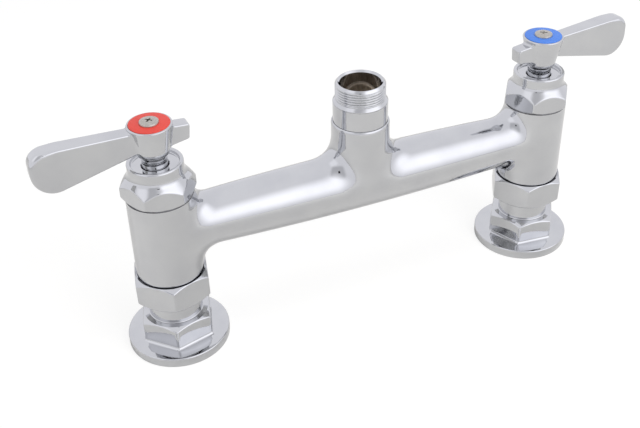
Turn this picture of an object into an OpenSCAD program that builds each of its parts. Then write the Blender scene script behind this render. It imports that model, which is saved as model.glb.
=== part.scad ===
/* [Overall] */
// Distance between the two valve axes
inlet_centres = 203.2; // [180:0.1:240]

/* [Inlet flanges] */
// Radius of the round flange that stands on the deck
flange_r = 25.5; // [23:0.1:30]
// Thickness of the round flange
flange_t = 5.5; // [4.5:0.1:7]
// Rounding of the flange's rim
flange_edge_r = 0.7; // [0.3:0.1:1.5]
// Size across the flats of the hexagon on the flange
flange_hex_af = 33; // [31.5:0.1:37]
// Height of that hexagon
flange_hex_h = 12.5; // [10:0.1:15]
// Height of the chamfer round the top of the hexagon
flange_hex_chamfer = 1.8; // [0.8:0.1:2.5]
// How far the chamfer's upper edge lies inside the middle of a flat
flange_hex_land = 0.4; // [0.1:0.1:1]
// Radius of the threaded neck above the hexagon
neck_r = 13.2; // [12.4:0.1:14]
// Length of the threaded neck
neck_l = 17.5; // [16:0.1:20]
// Radius of the tapped half-inch pipe hole in the underside
inlet_bore_r = 9; // [8.5:0.05:9.8]
// Depth of the tapped hole
inlet_bore_depth = 15; // [12:0.5:18]
// Radius of the waterway through the neck and the leg
waterway_r = 7; // [5:0.1:8]
// Direction of one corner of the hot flange's hexagon
hot_flange_turn = -105.5; // [-180:0.5:180]
// Direction of one corner of the cold flange's hexagon
cold_flange_turn = -126; // [-180:0.5:180]

/* [Coupling nuts] */
// Height of the nut
nut_h = 14; // [13:0.1:16]
// Wall left outside the nut's mouth at the middle of a flat
nut_mouth_wall = 0.4; // [0.3:0.1:3]
// Gap round the foot of the leg in the nut's mouth
nut_mouth_gap = 0.6; // [0.3:0.1:1.2]
// How far the foot of the leg stands in the nut's mouth
nut_overlap = 1.4; // [0.5:0.1:2]
// Gap between the foot of the leg and the floor of the mouth
nut_floor_gap = 0.8; // [0.4:0.1:1]
// Thickness of the nut's inner lip
nut_lip_t = 2; // [1.5:0.1:2.2]
// Height of the chamfers round the nut's two ends
nut_chamfer = 1.9; // [0.8:0.1:2.5]
// Thickness of the union washer under the leg
union_washer_t = 1.5; // [1:0.1:2]
// Direction of one corner of the hot nut
hot_nut_turn = -102; // [-180:0.5:180]
// Direction of one corner of the cold nut
cold_nut_turn = -119.5; // [-180:0.5:180]

/* [Retaining rings] */
// Thickness of the split ring that keeps the nut on the leg
ring_t = 0.9; // [0.7:0.05:1]
// Depth of the ring's groove in the spigot
ring_groove_depth = 1.3; // [0.8:0.1:2]
// Width of the gap in the split ring
ring_gap = 5; // [3:0.5:9]

/* [Body casting] */
// Radius of the leg at its top
leg_top_r = 15.8; // [15.2:0.1:17]
// Radius of the leg at its foot
leg_foot_r = 16.4; // [15.8:0.1:18]
// Height of the leg above its foot
leg_h = 44.4; // [42:0.1:48]
// Rounding of the leg's foot
leg_foot_edge_r = 1; // [0.4:0.1:1.5]
// Radius of the spigot below the foot
spigot_r = 12.6; // [12:0.1:12.8]
// Length of the spigot below the foot
spigot_l = 4.6; // [4.5:0.1:5]
// Radius of the cross tube in the middle, where it is fullest
tube_r = 14.8; // [13:0.1:15]
// How much thinner the cross tube is at the valve axes
tube_slim = 2.7; // [0:0.1:3]
// Radius of the waterway along the cross tube
tube_bore_r = 8; // [6:0.1:8.5]
// Height of the cross tube's axis above the foot of the leg
tube_rise = 24.8; // [24:0.1:26]
// Radius of the fillets between the cross tube and the legs
leg_fillet_r = 9; // [5:0.1:11]
// Radius of the outlet riser
riser_r = 14.3; // [14.1:0.1:16]
// Height of the riser's rim above the cross tube's axis
riser_h = 34.1; // [32:0.1:40]
// Rounding of the riser's rim
riser_edge_r = 0.6; // [0.2:0.05:0.6]
// Radius of the fillet between the riser and the cross tube
riser_fillet_r = 9; // [5:0.1:11]
// How deep the fillets start under the surfaces of the legs and the riser
fillet_sink = 0.6; // [0.3:0.1:1]
// Least distance of the fillets from the top of the leg
fillet_top_gap = 0.4; // [0.3:0.1:1]
// How far before the valve axis the cross tube's skin ends
skin_inset = 5; // [3:0.5:7]

/* [Valve seats] */
// Depth of the valve seat below the top of the leg
seat_depth = 29; // [28.5:0.1:30]
// Radius of the chamber round the cartridge
chamber_r = 11.4; // [11:0.1:12.2]
// Depth of the threaded counterbore at the top of the leg
leg_counterbore = 11; // [10:0.1:12]
// Radius of the bonnet's thread
bonnet_thread_r = 13; // [12.8:0.1:14]

/* [Bonnets] */
// Thickness of the gasket under the bonnet
gasket_t = 0.4; // [0.3:0.05:1]
// Size across the flats of the bonnet's hexagon
bonnet_af = 30.6; // [29.5:0.1:33]
// Radius of the bonnet's lower edge
bonnet_foot_r = 15.6; // [15:0.1:16]
// Height of the chamfer round the bonnet's lower edge
bonnet_chamfer_h = 1.9; // [1:0.1:3]
// Height of the dome's foot above the lower edge
dome_z = 4.9; // [4:0.1:5.5]
// Radius of the turn at the dome's foot
dome_turn_r = 3; // [2:0.1:5]
// How far the dome's widest circle stands outside the hexagon's corners
dome_proud = 0.25; // [0.1:0.05:0.5]
// Lean of the dome's side from upright
dome_lean = 40; // [30:1:45]
// Radius of the bonnet's round neck
bonnet_neck_r = 12.9; // [12.4:0.1:13.5]
// Height of the bonnet above its lower edge
bonnet_h = 17.8; // [16.5:0.1:19]
// Rounding of the neck's rim, outside and inside
bonnet_rim_edge_r = 0.9; // [0.4:0.1:0.9]
// Radius of the shallow well inside the neck's rim
bonnet_well_r = 11; // [10:0.1:11]
// Depth of that well
bonnet_well_depth = 2; // [1.2:0.1:2.5]
// Radius of the space inside the bonnet
bonnet_bore_r = 10.4; // [9.5:0.1:11]
// Height of that space's wall above the bonnet's lower edge
bonnet_space_h = 7.3; // [6:0.1:9]
// Direction of one corner of the hot bonnet
hot_bonnet_turn = -125; // [-180:0.5:180]
// Direction of one corner of the cold bonnet
cold_bonnet_turn = -127.5; // [-180:0.5:180]

/* [Cartridges] */
// Radius of the cartridge's lower sleeve
sleeve_r = 9.5; // [9.3:0.1:9.7]
// Radius of the ceramic discs' space in the sleeve
disc_space_r = 8.6; // [8.3:0.1:8.8]
// Thickness of the rubber seat seal
seat_seal_t = 2; // [1.5:0.1:2.5]
// Radius of the water hole in the seat seal
seat_seal_bore_r = 5.6; // [4:0.1:6]
// Thickness of the fixed ceramic disc
fixed_disc_t = 3.4; // [3:0.1:4]
// Thickness of the moving ceramic disc
moving_disc_t = 3.4; // [3:0.1:4]
// Thickness of the cartridge's flange
cartridge_flange_t = 2.6; // [2:0.1:3]
// Radius of the boss above the cartridge's flange
boss_r = 8.4; // [7.5:0.1:9]
// Height of the boss above the flange
boss_h = 14.4; // [12:0.1:15]
// Thickness of the cartridge's sealing ring
cartridge_ring_d = 1.8; // [1.5:0.05:2]
// Distance of the sealing ring's groove below the cartridge's flange
cartridge_ring_inset = 1.2; // [0.8:0.1:1.6]
// Gap between the cartridge's collar and the chamber
cartridge_side_gap = 0.2; // [0.1:0.05:0.3]
// Radius inside which the drive bar turns past the stops
stop_r = 7; // [6.8:0.1:7.4]
// Width of each stop, in degrees
stop_width = 16; // [10:1:20]
// Play of the drive bar before it meets a stop, in degrees
stop_play = 3; // [2.5:0.1:4]
// Inner radius of the water ports
port_inner_r = 2.4; // [2:0.1:3]
// Outer radius of the water ports
port_outer_r = 6.6; // [6:0.1:6.8]
// Half the width of a water port, in degrees
port_half_width = 36; // [25:1:38]
// Width of the lugs that keep the fixed disc from turning
disc_lug_w = 2.4; // [1.5:0.1:3]

/* [Spindles] */
// Radius of the spindle where it turns in the cartridge
spindle_r = 5; // [4.6:0.05:5.2]
// Width of the bar that drives the moving disc
drive_w = 5; // [4:0.1:5.5]
// Height of the drive bar above the moving disc
drive_h = 3.2; // [2.5:0.1:3.4]
// Depth of the drive bar in the moving disc's slot
drive_key = 1.2; // [0.8:0.1:1.5]
// Thickness of the spindle's sealing rings
spindle_ring_d = 1.3; // [1:0.05:1.5]
// Distance between the spindle's two sealing rings
spindle_ring_step = 5.5; // [4:0.1:8]
// Thickness of the clip that keeps the spindle in the cartridge
clip_t = 0.8; // [0.6:0.05:1]
// Radius of the clip
clip_r = 6.9; // [6.4:0.1:7.5]
// Width of the clip's mouth, as a share of its inner width
clip_mouth_share = 0.8; // [0.7:0.05:0.9]
// Depth of the clip's groove in the spindle
clip_groove_depth = 0.9; // [0.6:0.05:1.2]
// Radius of the collar that the handle rests on
collar_r = 5.86; // [5.5:0.01:6.2]
// Length of the collar
collar_l = 7.2; // [6.5:0.1:8]
// How far the collar's top stands above the floor of the bonnet's well
collar_proud = 2; // [1:0.1:3]
// Radius of the twelve-sided tip, over its corners
tip_r = 3.95; // [3.6:0.05:4.2]
// Length of the twelve-sided tip
tip_l = 10.3; // [8:0.1:11]

/* [Handles] */
// Height of the handle's hub
hub_h = 18.9; // [17.5:0.1:22]
// Radius of the hub's neck
hub_neck_r = 5.94; // [5.6:0.01:6.4]
// Height of the neck under the hub's cone
hub_neck_h = 2.4; // [1.5:0.1:3]
// Radius at the foot of the hub's cone
hub_foot_r = 7.4; // [7:0.1:8]
// Height of the foot of the hub's cone
hub_foot_h = 4.3; // [4:0.1:5]
// Radius of the hub's rim
hub_rim_r = 10.3; // [10.1:0.1:11.5]
// Rounding where the hub's neck and foot meet
hub_round_r = 1.1; // [0.6:0.1:1.5]
// Height of the chamfer round the hub's rim
hub_chamfer_h = 0.6; // [0.3:0.1:1]
// Width of that chamfer
hub_chamfer_w = 0.25; // [0.1:0.05:0.5]
// Reach of the lever from the valve axis
lever_reach = 53.5; // [40:0.5:75]
// Height of the lever's top edge over the hub's foot, taken at the axis
lever_top_h = 17.1; // [16:0.1:17.5]
// Rise of the top edge towards the tip, in degrees
lever_rise = 2.1; // [0:0.1:3]
// Height of the lever's lower edge over the hub's foot, taken at the axis
lever_bottom_h = 8.4; // [7:0.1:10]
// Fall of the lower edge towards the tip, in degrees
lever_fall = 13.4; // [0:0.1:15]
// Lean of the lever's end, in degrees
lever_end_lean = 6; // [0:0.5:10]
// Thickness of the lever at the axis
lever_root_t = 6.9; // [6:0.1:8]
// Thickness of the lever at its tip
lever_tip_t = 9.4; // [7:0.1:11]
// Rounding of the tip's top corner
tip_top_r = 7; // [3:0.1:8]
// Rounding of the tip's lower corner
tip_bottom_r = 10.8; // [5:0.1:14]
// Reach of the short tail behind the hub
tail_reach = 17.3; // [13:0.1:20]
// Height of the tail's end
tail_end_h = 7.4; // [5:0.1:8]
// Thickness of the tail's end
tail_t = 6.6; // [5:0.1:7]
// Fall of the tail's top edge towards its end, in degrees
tail_top_fall = 4.3; // [0:0.1:6]
// Rounding of the tail's corners
tail_corner_r = 1.2; // [0.5:0.1:1.6]
// How far the tail's lower edge has fallen where it meets the hub
tail_fall = 1.6; // [1:0.1:3]
// Rounding of the tip seen from above, as a share of half its thickness
tip_round_share = 0.9; // [0.5:0.05:0.95]
// Direction of the hot lever when it is closed
hot_lever_turn = 181.8; // [90:0.1:270]
// Direction of the cold lever when it is closed
cold_lever_turn = 6.4; // [-90:0.1:90]

/* [Index discs and screws] */
// Thickness of the colour index disc
index_t = 1.8; // [1.4:0.1:2]
// Depth of the recess that holds the index disc
index_recess = 1.5; // [1.2:0.1:2]
// Width of the chrome rim round the index disc
index_rim = 0.9; // [0.4:0.05:1.5]
// Radius of the screw's head
screw_head_r = 4.5; // [3.5:0.1:5]
// Height of the screw's head
screw_head_h = 1.5; // [1.2:0.1:2]
// Radius of the screw's shank
screw_r = 2; // [1.6:0.05:2.1]
// Length of the screw under its head
screw_l = 14; // [12:0.5:15]
// Depth of the cross recess
recess_depth = 1; // [0.6:0.1:1.1]
// Width of each arm of the cross recess
recess_w = 1; // [0.6:0.1:1.2]
// Span of the cross recess
recess_span = 4.6; // [3:0.1:5]

/* [Spout outlet] */
// Radius of the outlet's plain collar
outlet_collar_r = 13.35; // [13.1:0.05:13.5]
// Length of the collar that shows above the riser
outlet_collar_l = 11.7; // [10:0.1:14]
// Depth of the collar in the riser's rim
outlet_seat_depth = 1.4; // [1:0.1:2]
// Outer radius of the outlet's thread
outlet_thread_r = 12.2; // [11.8:0.05:12.6]
// Length of the thread above the collar
outlet_thread_l = 8.3; // [6:0.1:12]
// Radius of the socket for the spout
outlet_bore_r = 10; // [9.5:0.05:10.4]
// Depth of the socket for the spout
outlet_bore_depth = 16.5; // [14:0.5:18]
// Radius of the part screwed into the riser
outlet_tail_r = 11.8; // [11.5:0.05:12.2]
// Length of the part screwed into the riser
outlet_tail_l = 10.6; // [9:0.1:12]
// Radius of the waterway at the foot of the outlet
outlet_waterway_r = 8.4; // [7:0.1:8.8]
// Thickness of the outlet's sealing ring
outlet_ring_d = 1.8; // [1.4:0.05:2]
// Height of the sealing ring's groove above the foot of the outlet
outlet_ring_inset = 1.4; // [0.8:0.1:3]
// Height of the fine line round the collar, below the thread
outlet_line_drop = 5.6; // [3:0.1:8]
// Width of the fine line
outlet_line_w = 0.5; // [0.3:0.05:0.8]
// Depth of the fine line
outlet_line_depth = 0.25; // [0.1:0.05:0.4]
// Height of the step from the collar to the thread
outlet_step_h = 0.9; // [0.5:0.1:1.5]
// Chamfer round the outlet's mouth
outlet_chamfer = 0.8; // [0.3:0.1:1.2]

/* [Fits] */
// Clearance of threads and parts that are screwed together
thread_gap = 0.1; // [0.05:0.05:0.2]
// Clearance of the spindle in the cartridge
running_gap = 0.05; // [0.02:0.01:0.1]
// Clearance of a turning part beside a fixed one
turning_gap = 0.35; // [0.3:0.05:0.5]
// Clearance of a sealing ring in its groove
seal_gap = 0.05; // [0.02:0.01:0.1]
// Depth of each seal's groove beyond the seal
groove_width_gap = 0.3; // [0.2:0.05:0.5]

/* [Hidden] */
$fn = 96;
hot = -1;
cold = 1;
eps = 0.01;

// Heights above the deck, from the bottom up
flange_hex_top = flange_t + flange_hex_h;
neck_top = flange_hex_top + neck_l;
spigot_z = neck_top + union_washer_t;
foot_z = spigot_z + spigot_l;
leg_top = foot_z + leg_h;
tube_z = foot_z + tube_rise;
nut_top = foot_z + nut_overlap;
nut_z = nut_top - nut_h;
nut_floor = foot_z - nut_floor_gap;
lip_z = nut_floor - nut_lip_t;
riser_top = tube_z + riser_h;
seat_z = leg_top - seat_depth;
fixed_disc_z = seat_z + seat_seal_t;
moving_disc_z = fixed_disc_z + fixed_disc_t;
moving_disc_top = moving_disc_z + moving_disc_t;
disc_roof = moving_disc_top + drive_h + turning_gap;
shoulder_z = leg_top - leg_counterbore;
skirt_z = shoulder_z + cartridge_flange_t;
boss_top = skirt_z + boss_h;
bonnet_z = leg_top + gasket_t;
bonnet_top = bonnet_z + bonnet_h;
well_floor = bonnet_top - bonnet_well_depth;
collar_top = well_floor + collar_proud;
hub_top = collar_top + hub_h;
index_z = hub_top - index_recess;
head_z = index_z + index_t;
outlet_seat_z = riser_top - outlet_seat_depth;
outlet_collar_top = riser_top + outlet_collar_l;
outlet_top = outlet_collar_top + outlet_thread_l;

// Radii and lengths that follow from what a piece fits
half_centres = inlet_centres / 2;
nut_mouth_r = leg_foot_r + nut_mouth_gap;
nut_af = 2 * (nut_mouth_r + nut_mouth_wall);
nut_thread_r = neck_r + thread_gap;
lip_r = spigot_r + 2 * thread_gap;
ring_floor_r = spigot_r - ring_groove_depth;
ring_z = lip_z - thread_gap - ring_t;
bonnet_hole_r = collar_r + turning_gap;
index_r = hub_rim_r - index_rim - thread_gap;
sleeve_z = seat_z + turning_gap;
spindle_bore_r = spindle_r + running_gap;
collar_r_in_riser = outlet_collar_r + turning_gap;

// Driving lengths of the drive bar, which clears the stops and the wall of the disc space
bar_half = sqrt(pow(stop_r - turning_gap, 2) - pow(drive_w / 2, 2));
lug_reach = sqrt(pow(disc_space_r - turning_gap, 2) - pow(drive_w / 2, 2));
quarter = 90;

function unit(v) = v / norm(v);

function turned(v, a) = [v.x * cos(a) - v.y * sin(a), v.x * sin(a) + v.y * cos(a)];

function arc(c, r, from, to, steps = 8) =
    [for (i = [0:steps]) let (a = from + (to - from) * i / steps) c + r * [cos(a), sin(a)]];

// The corner p of an outline, rounded to radius r between its neighbours a and b
function round_corner(a, p, b, r, steps) =
    let (
        u = unit(a - p),
        v = unit(b - p),
        half = acos(u * v) / 2,
        c = p + unit(u + v) * r / sin(half),
        s = p + u * r / tan(half) - c,
        e = p + v * r / tan(half) - c,
        from = atan2(s.y, s.x),
        sweep = atan2(s.x * e.y - s.y * e.x, s * e)
    )
    [for (i = [0:steps]) c + r * [cos(from + sweep * i / steps), sin(from + sweep * i / steps)]];

// An outline given as [x, y, corner radius] points
function rounded(pts, steps = 6) =
    let (n = len(pts))
    [for (i = [0:n - 1])
        let (
            p = [pts[i].x, pts[i].y],
            a = [pts[(i + n - 1) % n].x, pts[(i + n - 1) % n].y],
            b = [pts[(i + 1) % n].x, pts[(i + 1) % n].y]
        )
        each (pts[i].z > 0 ? round_corner(a, p, b, pts[i].z, steps) : [p])];

// A slice of pie from one angle to another, reaching past radius r
module slice(r, from, to) {
    steps = 8;
    reach = r / cos((to - from) / steps / 2);
    polygon(concat([[0, 0]], arc([0, 0], reach, from, to, steps)));
}

module ring(outer, inner, z, h) {
    translate([0, 0, z])
        difference() {
            cylinder(r = outer, h = h);
            translate([0, 0, -1]) cylinder(r = inner, h = h + 2);
        }
}

// A sealing ring of round section whose outside has radius r
module sealing_ring(r, d, z) {
    translate([0, 0, z])
        rotate_extrude()
            translate([r - d / 2, 0]) circle(d = d, $fn = 32);
}

module hexagon(af, z, h, turn) {
    translate([0, 0, z]) rotate([0, 0, turn]) cylinder(r = af / sqrt(3), h = h, $fn = 6);
}

module at(side) {
    translate([side * half_centres, 0, 0]) children();
}

// What turns with a handle, from the closed lever's direction
module turning(side) {
    at(side) rotate([0, 0, side == hot ? hot_lever_turn : cold_lever_turn]) children();
}

// A hexagon with its corners cut by a cone at the top, and at the bottom too if asked
module chamfered_hexagon(af, z, h, turn, chamfer, land, both_ends) {
    corner_r = af / sqrt(3);
    outside = corner_r + chamfer;
    land_r = af / 2 - land;
    drop = chamfer * (outside - land_r) / (corner_r - land_r);
    low_end = both_ends ? [[land_r, z], [outside, z + drop]] : [[outside, z]];
    intersection() {
        hexagon(af, z, h, turn);
        rotate_extrude()
            polygon(concat([[0, z]], low_end, [[outside, z + h - drop], [land_r, z + h], [0, z + h]]));
    }
}

module inlet_flange(turn) {
    color("silver")
        difference() {
            union() {
                rotate_extrude()
                    polygon(rounded([
                        [0, 0, 0], [flange_r, 0, flange_edge_r],
                        [flange_r, flange_t, flange_edge_r], [0, flange_t, 0]
                    ]));
                chamfered_hexagon(
                    flange_hex_af, flange_t - 1, flange_hex_h + 1, turn,
                    flange_hex_chamfer, flange_hex_land, false
                );
                translate([0, 0, flange_hex_top - 1]) cylinder(r = neck_r, h = neck_l + 1);
            }
            translate([0, 0, -1]) cylinder(r = inlet_bore_r, h = inlet_bore_depth + 1);
            cylinder(r = waterway_r, h = neck_top + 1);
        }
}

module union_washer() {
    color("saddlebrown") ring(spigot_r - thread_gap, waterway_r, neck_top, union_washer_t);
}

module coupling_nut(turn) {
    color("silver")
        difference() {
            chamfered_hexagon(nut_af, nut_z, nut_h, turn, nut_chamfer, nut_mouth_wall / 4, true);
            translate([0, 0, nut_z - 1]) cylinder(r = nut_thread_r, h = lip_z - nut_z + 1);
            translate([0, 0, nut_z]) cylinder(r = lip_r, h = nut_h);
            translate([0, 0, nut_floor]) cylinder(r = nut_mouth_r, h = nut_h);
        }
}

// The split ring, open on the side that faces the middle of the faucet
module retaining_ring() {
    color("dimgray")
        difference() {
            ring(nut_thread_r - thread_gap, ring_floor_r + thread_gap, ring_z, ring_t);
            translate([-ring_gap / 2, 0, ring_z - 1]) cube([ring_gap, nut_thread_r + 1, ring_t + 2]);
        }
}

function tube_gap(p) = norm([p.y, p.z]) - tube_r + tube_slim * pow(p.x / half_centres, 2);

function leg_gap(p) = norm([abs(p.x) - half_centres, p.y]) - leg_top_r + fillet_sink;

function riser_gap(p) = norm([p.x, p.y, min(p.z, 0)]) - riser_r + fillet_sink;

function leg_facing(p) = pow(p.y, 2) / norm([p.y, p.z]) / norm([abs(p.x) - half_centres, p.y]);

function riser_facing(p) =
    p.z > 0 ? pow(p.y, 2) / norm([p.y, p.z]) / norm([p.x, p.y]) : norm([p.y, p.z]) / norm(p);

// Two surfaces joined by a fillet of radius r, which shrinks where they face the same way
function filleted(a, b, r, facing) =
    let (reach = max(r * (1 - facing), eps), near = max(reach - abs(a - b), 0))
    min(a, b) - near * near / (4 * reach);

function skin_gap(p) =
    abs(p.x) > half_centres / 2
        ? filleted(tube_gap(p), leg_gap(p), leg_fillet_r, leg_facing(p))
        : filleted(tube_gap(p), riser_gap(p), riser_fillet_r, riser_facing(p));

// Distance from the tube's axis to the casting's skin, found by halving
function skin_r(x, a, low, high, steps) =
    steps == 0 ? (low + high) / 2
    : let (mid = (low + high) / 2, p = [x, mid * cos(a), mid * sin(a)])
        skin_gap(p) > 0 ? skin_r(x, a, low, mid, steps - 1) : skin_r(x, a, mid, high, steps - 1);

// Stations along the cross tube, close together where the fillets are and four steps between
skin_end = half_centres - skin_inset;
leg_side = half_centres - leg_top_r - leg_fillet_r;
riser_side = riser_r + riser_fillet_r;
skin_steps = 11;
skin_sides = 32;
plain_steps = 4;
half_stations = concat(
    [for (i = [0.5:1:skin_steps]) riser_side * i / skin_steps],
    [for (i = [0:plain_steps - 1]) riser_side + (leg_side - riser_side) * i / plain_steps],
    [for (i = [0:skin_steps]) leg_side + (skin_end - leg_side) * i / skin_steps]
);
stations = concat(
    [for (i = [len(half_stations) - 1:-1:0]) -half_stations[i]],
    half_stations
);
skin_reach = leg_h - tube_rise - fillet_top_gap;

// The outside of the cross tube with its fillets into both legs and the riser
module casting_skin() {
    n = skin_sides;
    m = len(stations);
    points = [for (x = stations, j = [0:n - 1])
        let (
            a = 360 * (j + 0.5) / n,
            limit = skin_reach / max(abs(sin(a)), 0.7),
            r = skin_r(x, a, tube_bore_r, limit, 16)
        )
        [x, r * cos(a), r * sin(a)]];
    sides = [for (i = [0:m - 2], j = [0:n - 1])
        let (k = (j + 1) % n, a = i * n + j, b = i * n + k, c = a + n, d = b + n)
        each [[a, d, b], [a, c, d]]];
    last = (m - 1) * n;
    ends = [for (j = [1:n - 2]) each [[0, j, j + 1], [last, last + j + 1, last + j]]];
    translate([0, 0, tube_z]) polyhedron(points, concat(sides, ends), convexity = 6);
}

module leg_outside() {
    rotate_extrude()
        polygon(rounded([
            [0, spigot_z, 0], [spigot_r, spigot_z, 0], [spigot_r, foot_z, 0],
            [leg_foot_r, foot_z, leg_foot_edge_r], [leg_top_r, leg_top, 0], [0, leg_top, 0]
        ]));
}

module leg_inside() {
    translate([0, 0, spigot_z - 1]) cylinder(r = waterway_r, h = seat_z - spigot_z + 2);
    translate([0, 0, seat_z]) cylinder(r = chamber_r, h = leg_top - seat_z);
    translate([0, 0, shoulder_z]) cylinder(r = bonnet_thread_r + thread_gap, h = leg_counterbore + 1);
    ring(spigot_r + 1, ring_floor_r, ring_z - thread_gap / 2, ring_t + thread_gap);
}

module faucet_body() {
    color("silver")
        difference() {
            union() {
                casting_skin();
                for (side = [hot, cold]) at(side) leg_outside();
                rotate_extrude()
                    polygon(rounded([
                        [0, tube_z, 0], [riser_r, tube_z, 0],
                        [riser_r, riser_top, riser_edge_r], [0, riser_top, 0]
                    ]));
            }
            for (side = [hot, cold]) at(side) leg_inside();
            translate([-half_centres, 0, tube_z])
                rotate([0, 90, 0]) cylinder(r = tube_bore_r, h = inlet_centres);
            translate([0, 0, tube_z]) cylinder(r = outlet_waterway_r, h = riser_h);
            translate([0, 0, outlet_seat_z - outlet_tail_l - turning_gap])
                cylinder(r = outlet_tail_r + thread_gap, h = riser_h);
            translate([0, 0, outlet_seat_z]) cylinder(r = collar_r_in_riser, h = riser_h);
        }
}

// The threaded piece that the spout's nut holds on to
module spout_outlet_sleeve() {
    tail_z = outlet_seat_z - outlet_tail_l;
    groove_z = tail_z + outlet_ring_inset;
    groove_h = outlet_ring_d + groove_width_gap;
    line_z = outlet_collar_top - outlet_line_drop;
    socket_z = outlet_top - outlet_bore_depth;
    color("silver")
        difference() {
            rotate_extrude()
                polygon([
                    [0, tail_z], [outlet_tail_r, tail_z],
                    [outlet_tail_r, groove_z], [outlet_tail_r - outlet_ring_d, groove_z],
                    [outlet_tail_r - outlet_ring_d, groove_z + groove_h],
                    [outlet_tail_r, groove_z + groove_h],
                    [outlet_tail_r, outlet_seat_z], [outlet_collar_r, outlet_seat_z],
                    [outlet_collar_r, line_z], [outlet_collar_r - outlet_line_depth, line_z],
                    [outlet_collar_r - outlet_line_depth, line_z + outlet_line_w],
                    [outlet_collar_r, line_z + outlet_line_w],
                    [outlet_collar_r, outlet_collar_top - outlet_step_h],
                    [outlet_thread_r, outlet_collar_top],
                    [outlet_thread_r, outlet_top - outlet_chamfer],
                    [outlet_thread_r - outlet_chamfer, outlet_top], [0, outlet_top]
                ]);
            translate([0, 0, tail_z - 1]) cylinder(r = outlet_waterway_r, h = outlet_top - tail_z);
            translate([0, 0, socket_z]) cylinder(r = outlet_bore_r, h = outlet_bore_depth + 1);
        }
}

module outlet_sealing_ring() {
    groove_z = outlet_seat_z - outlet_tail_l + outlet_ring_inset;
    ring_z = groove_z + (outlet_ring_d + groove_width_gap) / 2;
    color("black") sealing_ring(outlet_tail_r + seal_gap, outlet_ring_d, ring_z);
}

module bonnet(turn) {
    widest = bonnet_af / sqrt(3) + dome_proud;
    turn_end = [
        widest - dome_turn_r * (1 - cos(dome_lean)),
        bonnet_z + dome_z + dome_turn_r * sin(dome_lean)
    ];
    neck_foot = turn_end.y + (turn_end.x - bonnet_neck_r) / tan(dome_lean);
    cavity_top = bonnet_z + bonnet_space_h;
    color("silver")
        difference() {
            union() {
                intersection() {
                    hexagon(bonnet_af, bonnet_z, bonnet_h, turn);
                    rotate_extrude()
                        polygon(concat(
                            [[0, bonnet_z], [bonnet_foot_r, bonnet_z]],
                            [[widest, bonnet_z + bonnet_chamfer_h]],
                            arc([widest - dome_turn_r, bonnet_z + dome_z], dome_turn_r, 0, dome_lean),
                            [[bonnet_neck_r, neck_foot], [0, neck_foot]]
                        ));
                }
                rotate_extrude()
                    polygon(rounded([
                        [0, bonnet_z + dome_z, 0], [bonnet_neck_r, bonnet_z + dome_z, 0],
                        [bonnet_neck_r, bonnet_top, bonnet_rim_edge_r],
                        [bonnet_well_r, bonnet_top, bonnet_rim_edge_r],
                        [bonnet_well_r, well_floor, 0], [0, well_floor, 0]
                    ]));
                translate([0, 0, skirt_z]) cylinder(r = bonnet_thread_r, h = bonnet_z - skirt_z + 1);
            }
            rotate_extrude()
                polygon([
                    [0, skirt_z - 1], [bonnet_bore_r, skirt_z - 1], [bonnet_bore_r, cavity_top],
                    [0, cavity_top + bonnet_bore_r]
                ]);
            translate([0, 0, skirt_z]) cylinder(r = bonnet_hole_r, h = bonnet_top - skirt_z + 1);
        }
}

module bonnet_gasket() {
    color("dimgray") ring(bonnet_foot_r - thread_gap, bonnet_thread_r + thread_gap, leg_top, gasket_t);
}

module seat_seal() {
    color("black") ring(disc_space_r - turning_gap, seat_seal_bore_r, seat_z, seat_seal_t);
}

// Two water ports across a ceramic disc, centred on the given direction
module ports(direction) {
    difference() {
        intersection() {
            circle(r = port_outer_r);
            for (a = [direction, direction + 180])
                slice(port_outer_r, a - port_half_width, a + port_half_width);
        }
        circle(r = port_inner_r);
    }
}

// The fixed disc's two lugs sit in slots of the sleeve, so it can't turn
module disc_lugs(gap) {
    square([disc_lug_w + 2 * gap, 2 * (sleeve_r - turning_gap + gap)], center = true);
}

module fixed_disc(side) {
    turn = side == hot ? hot_lever_turn : cold_lever_turn;
    color("white")
        translate([0, 0, fixed_disc_z])
            rotate([0, 0, turn])
                linear_extrude(fixed_disc_t)
                    difference() {
                        union() {
                            circle(r = disc_space_r - thread_gap);
                            rotate(quarter / 2) disc_lugs(0);
                        }
                        ports(quarter);
                    }
}

module moving_disc() {
    color("white")
        difference() {
            translate([0, 0, moving_disc_z])
                linear_extrude(moving_disc_t)
                    difference() {
                        circle(r = disc_space_r - turning_gap);
                        ports(0);
                    }
            translate([-drive_w / 2 - thread_gap, -disc_space_r, moving_disc_top - drive_key])
                cube([drive_w + 2 * thread_gap, 2 * disc_space_r, drive_key + 1]);
        }
}

// What the stops leave of the disc space: two posts, one beyond each end of the drive bar's lug
module stops(opening_way) {
    from = asin(drive_w / 2 / stop_r) + stop_play;
    difference() {
        for (end = [[-from, -from - stop_width], [quarter + from, quarter + from + stop_width]])
            slice(disc_space_r + 1, min(opening_way * end), max(opening_way * end));
        circle(r = stop_r);
    }
}

// Outlines of the water windows, as the middle and the half width of each in degrees
module windows(opening_way) {
    difference() {
        for (w = [[quarter / 2, quarter / 4], [quarter / 2 + 180, quarter / 2]])
            slice(sleeve_r + 1, opening_way * w[0] - w[1], opening_way * w[0] + w[1]);
        circle(r = stop_r);
    }
}

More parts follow.
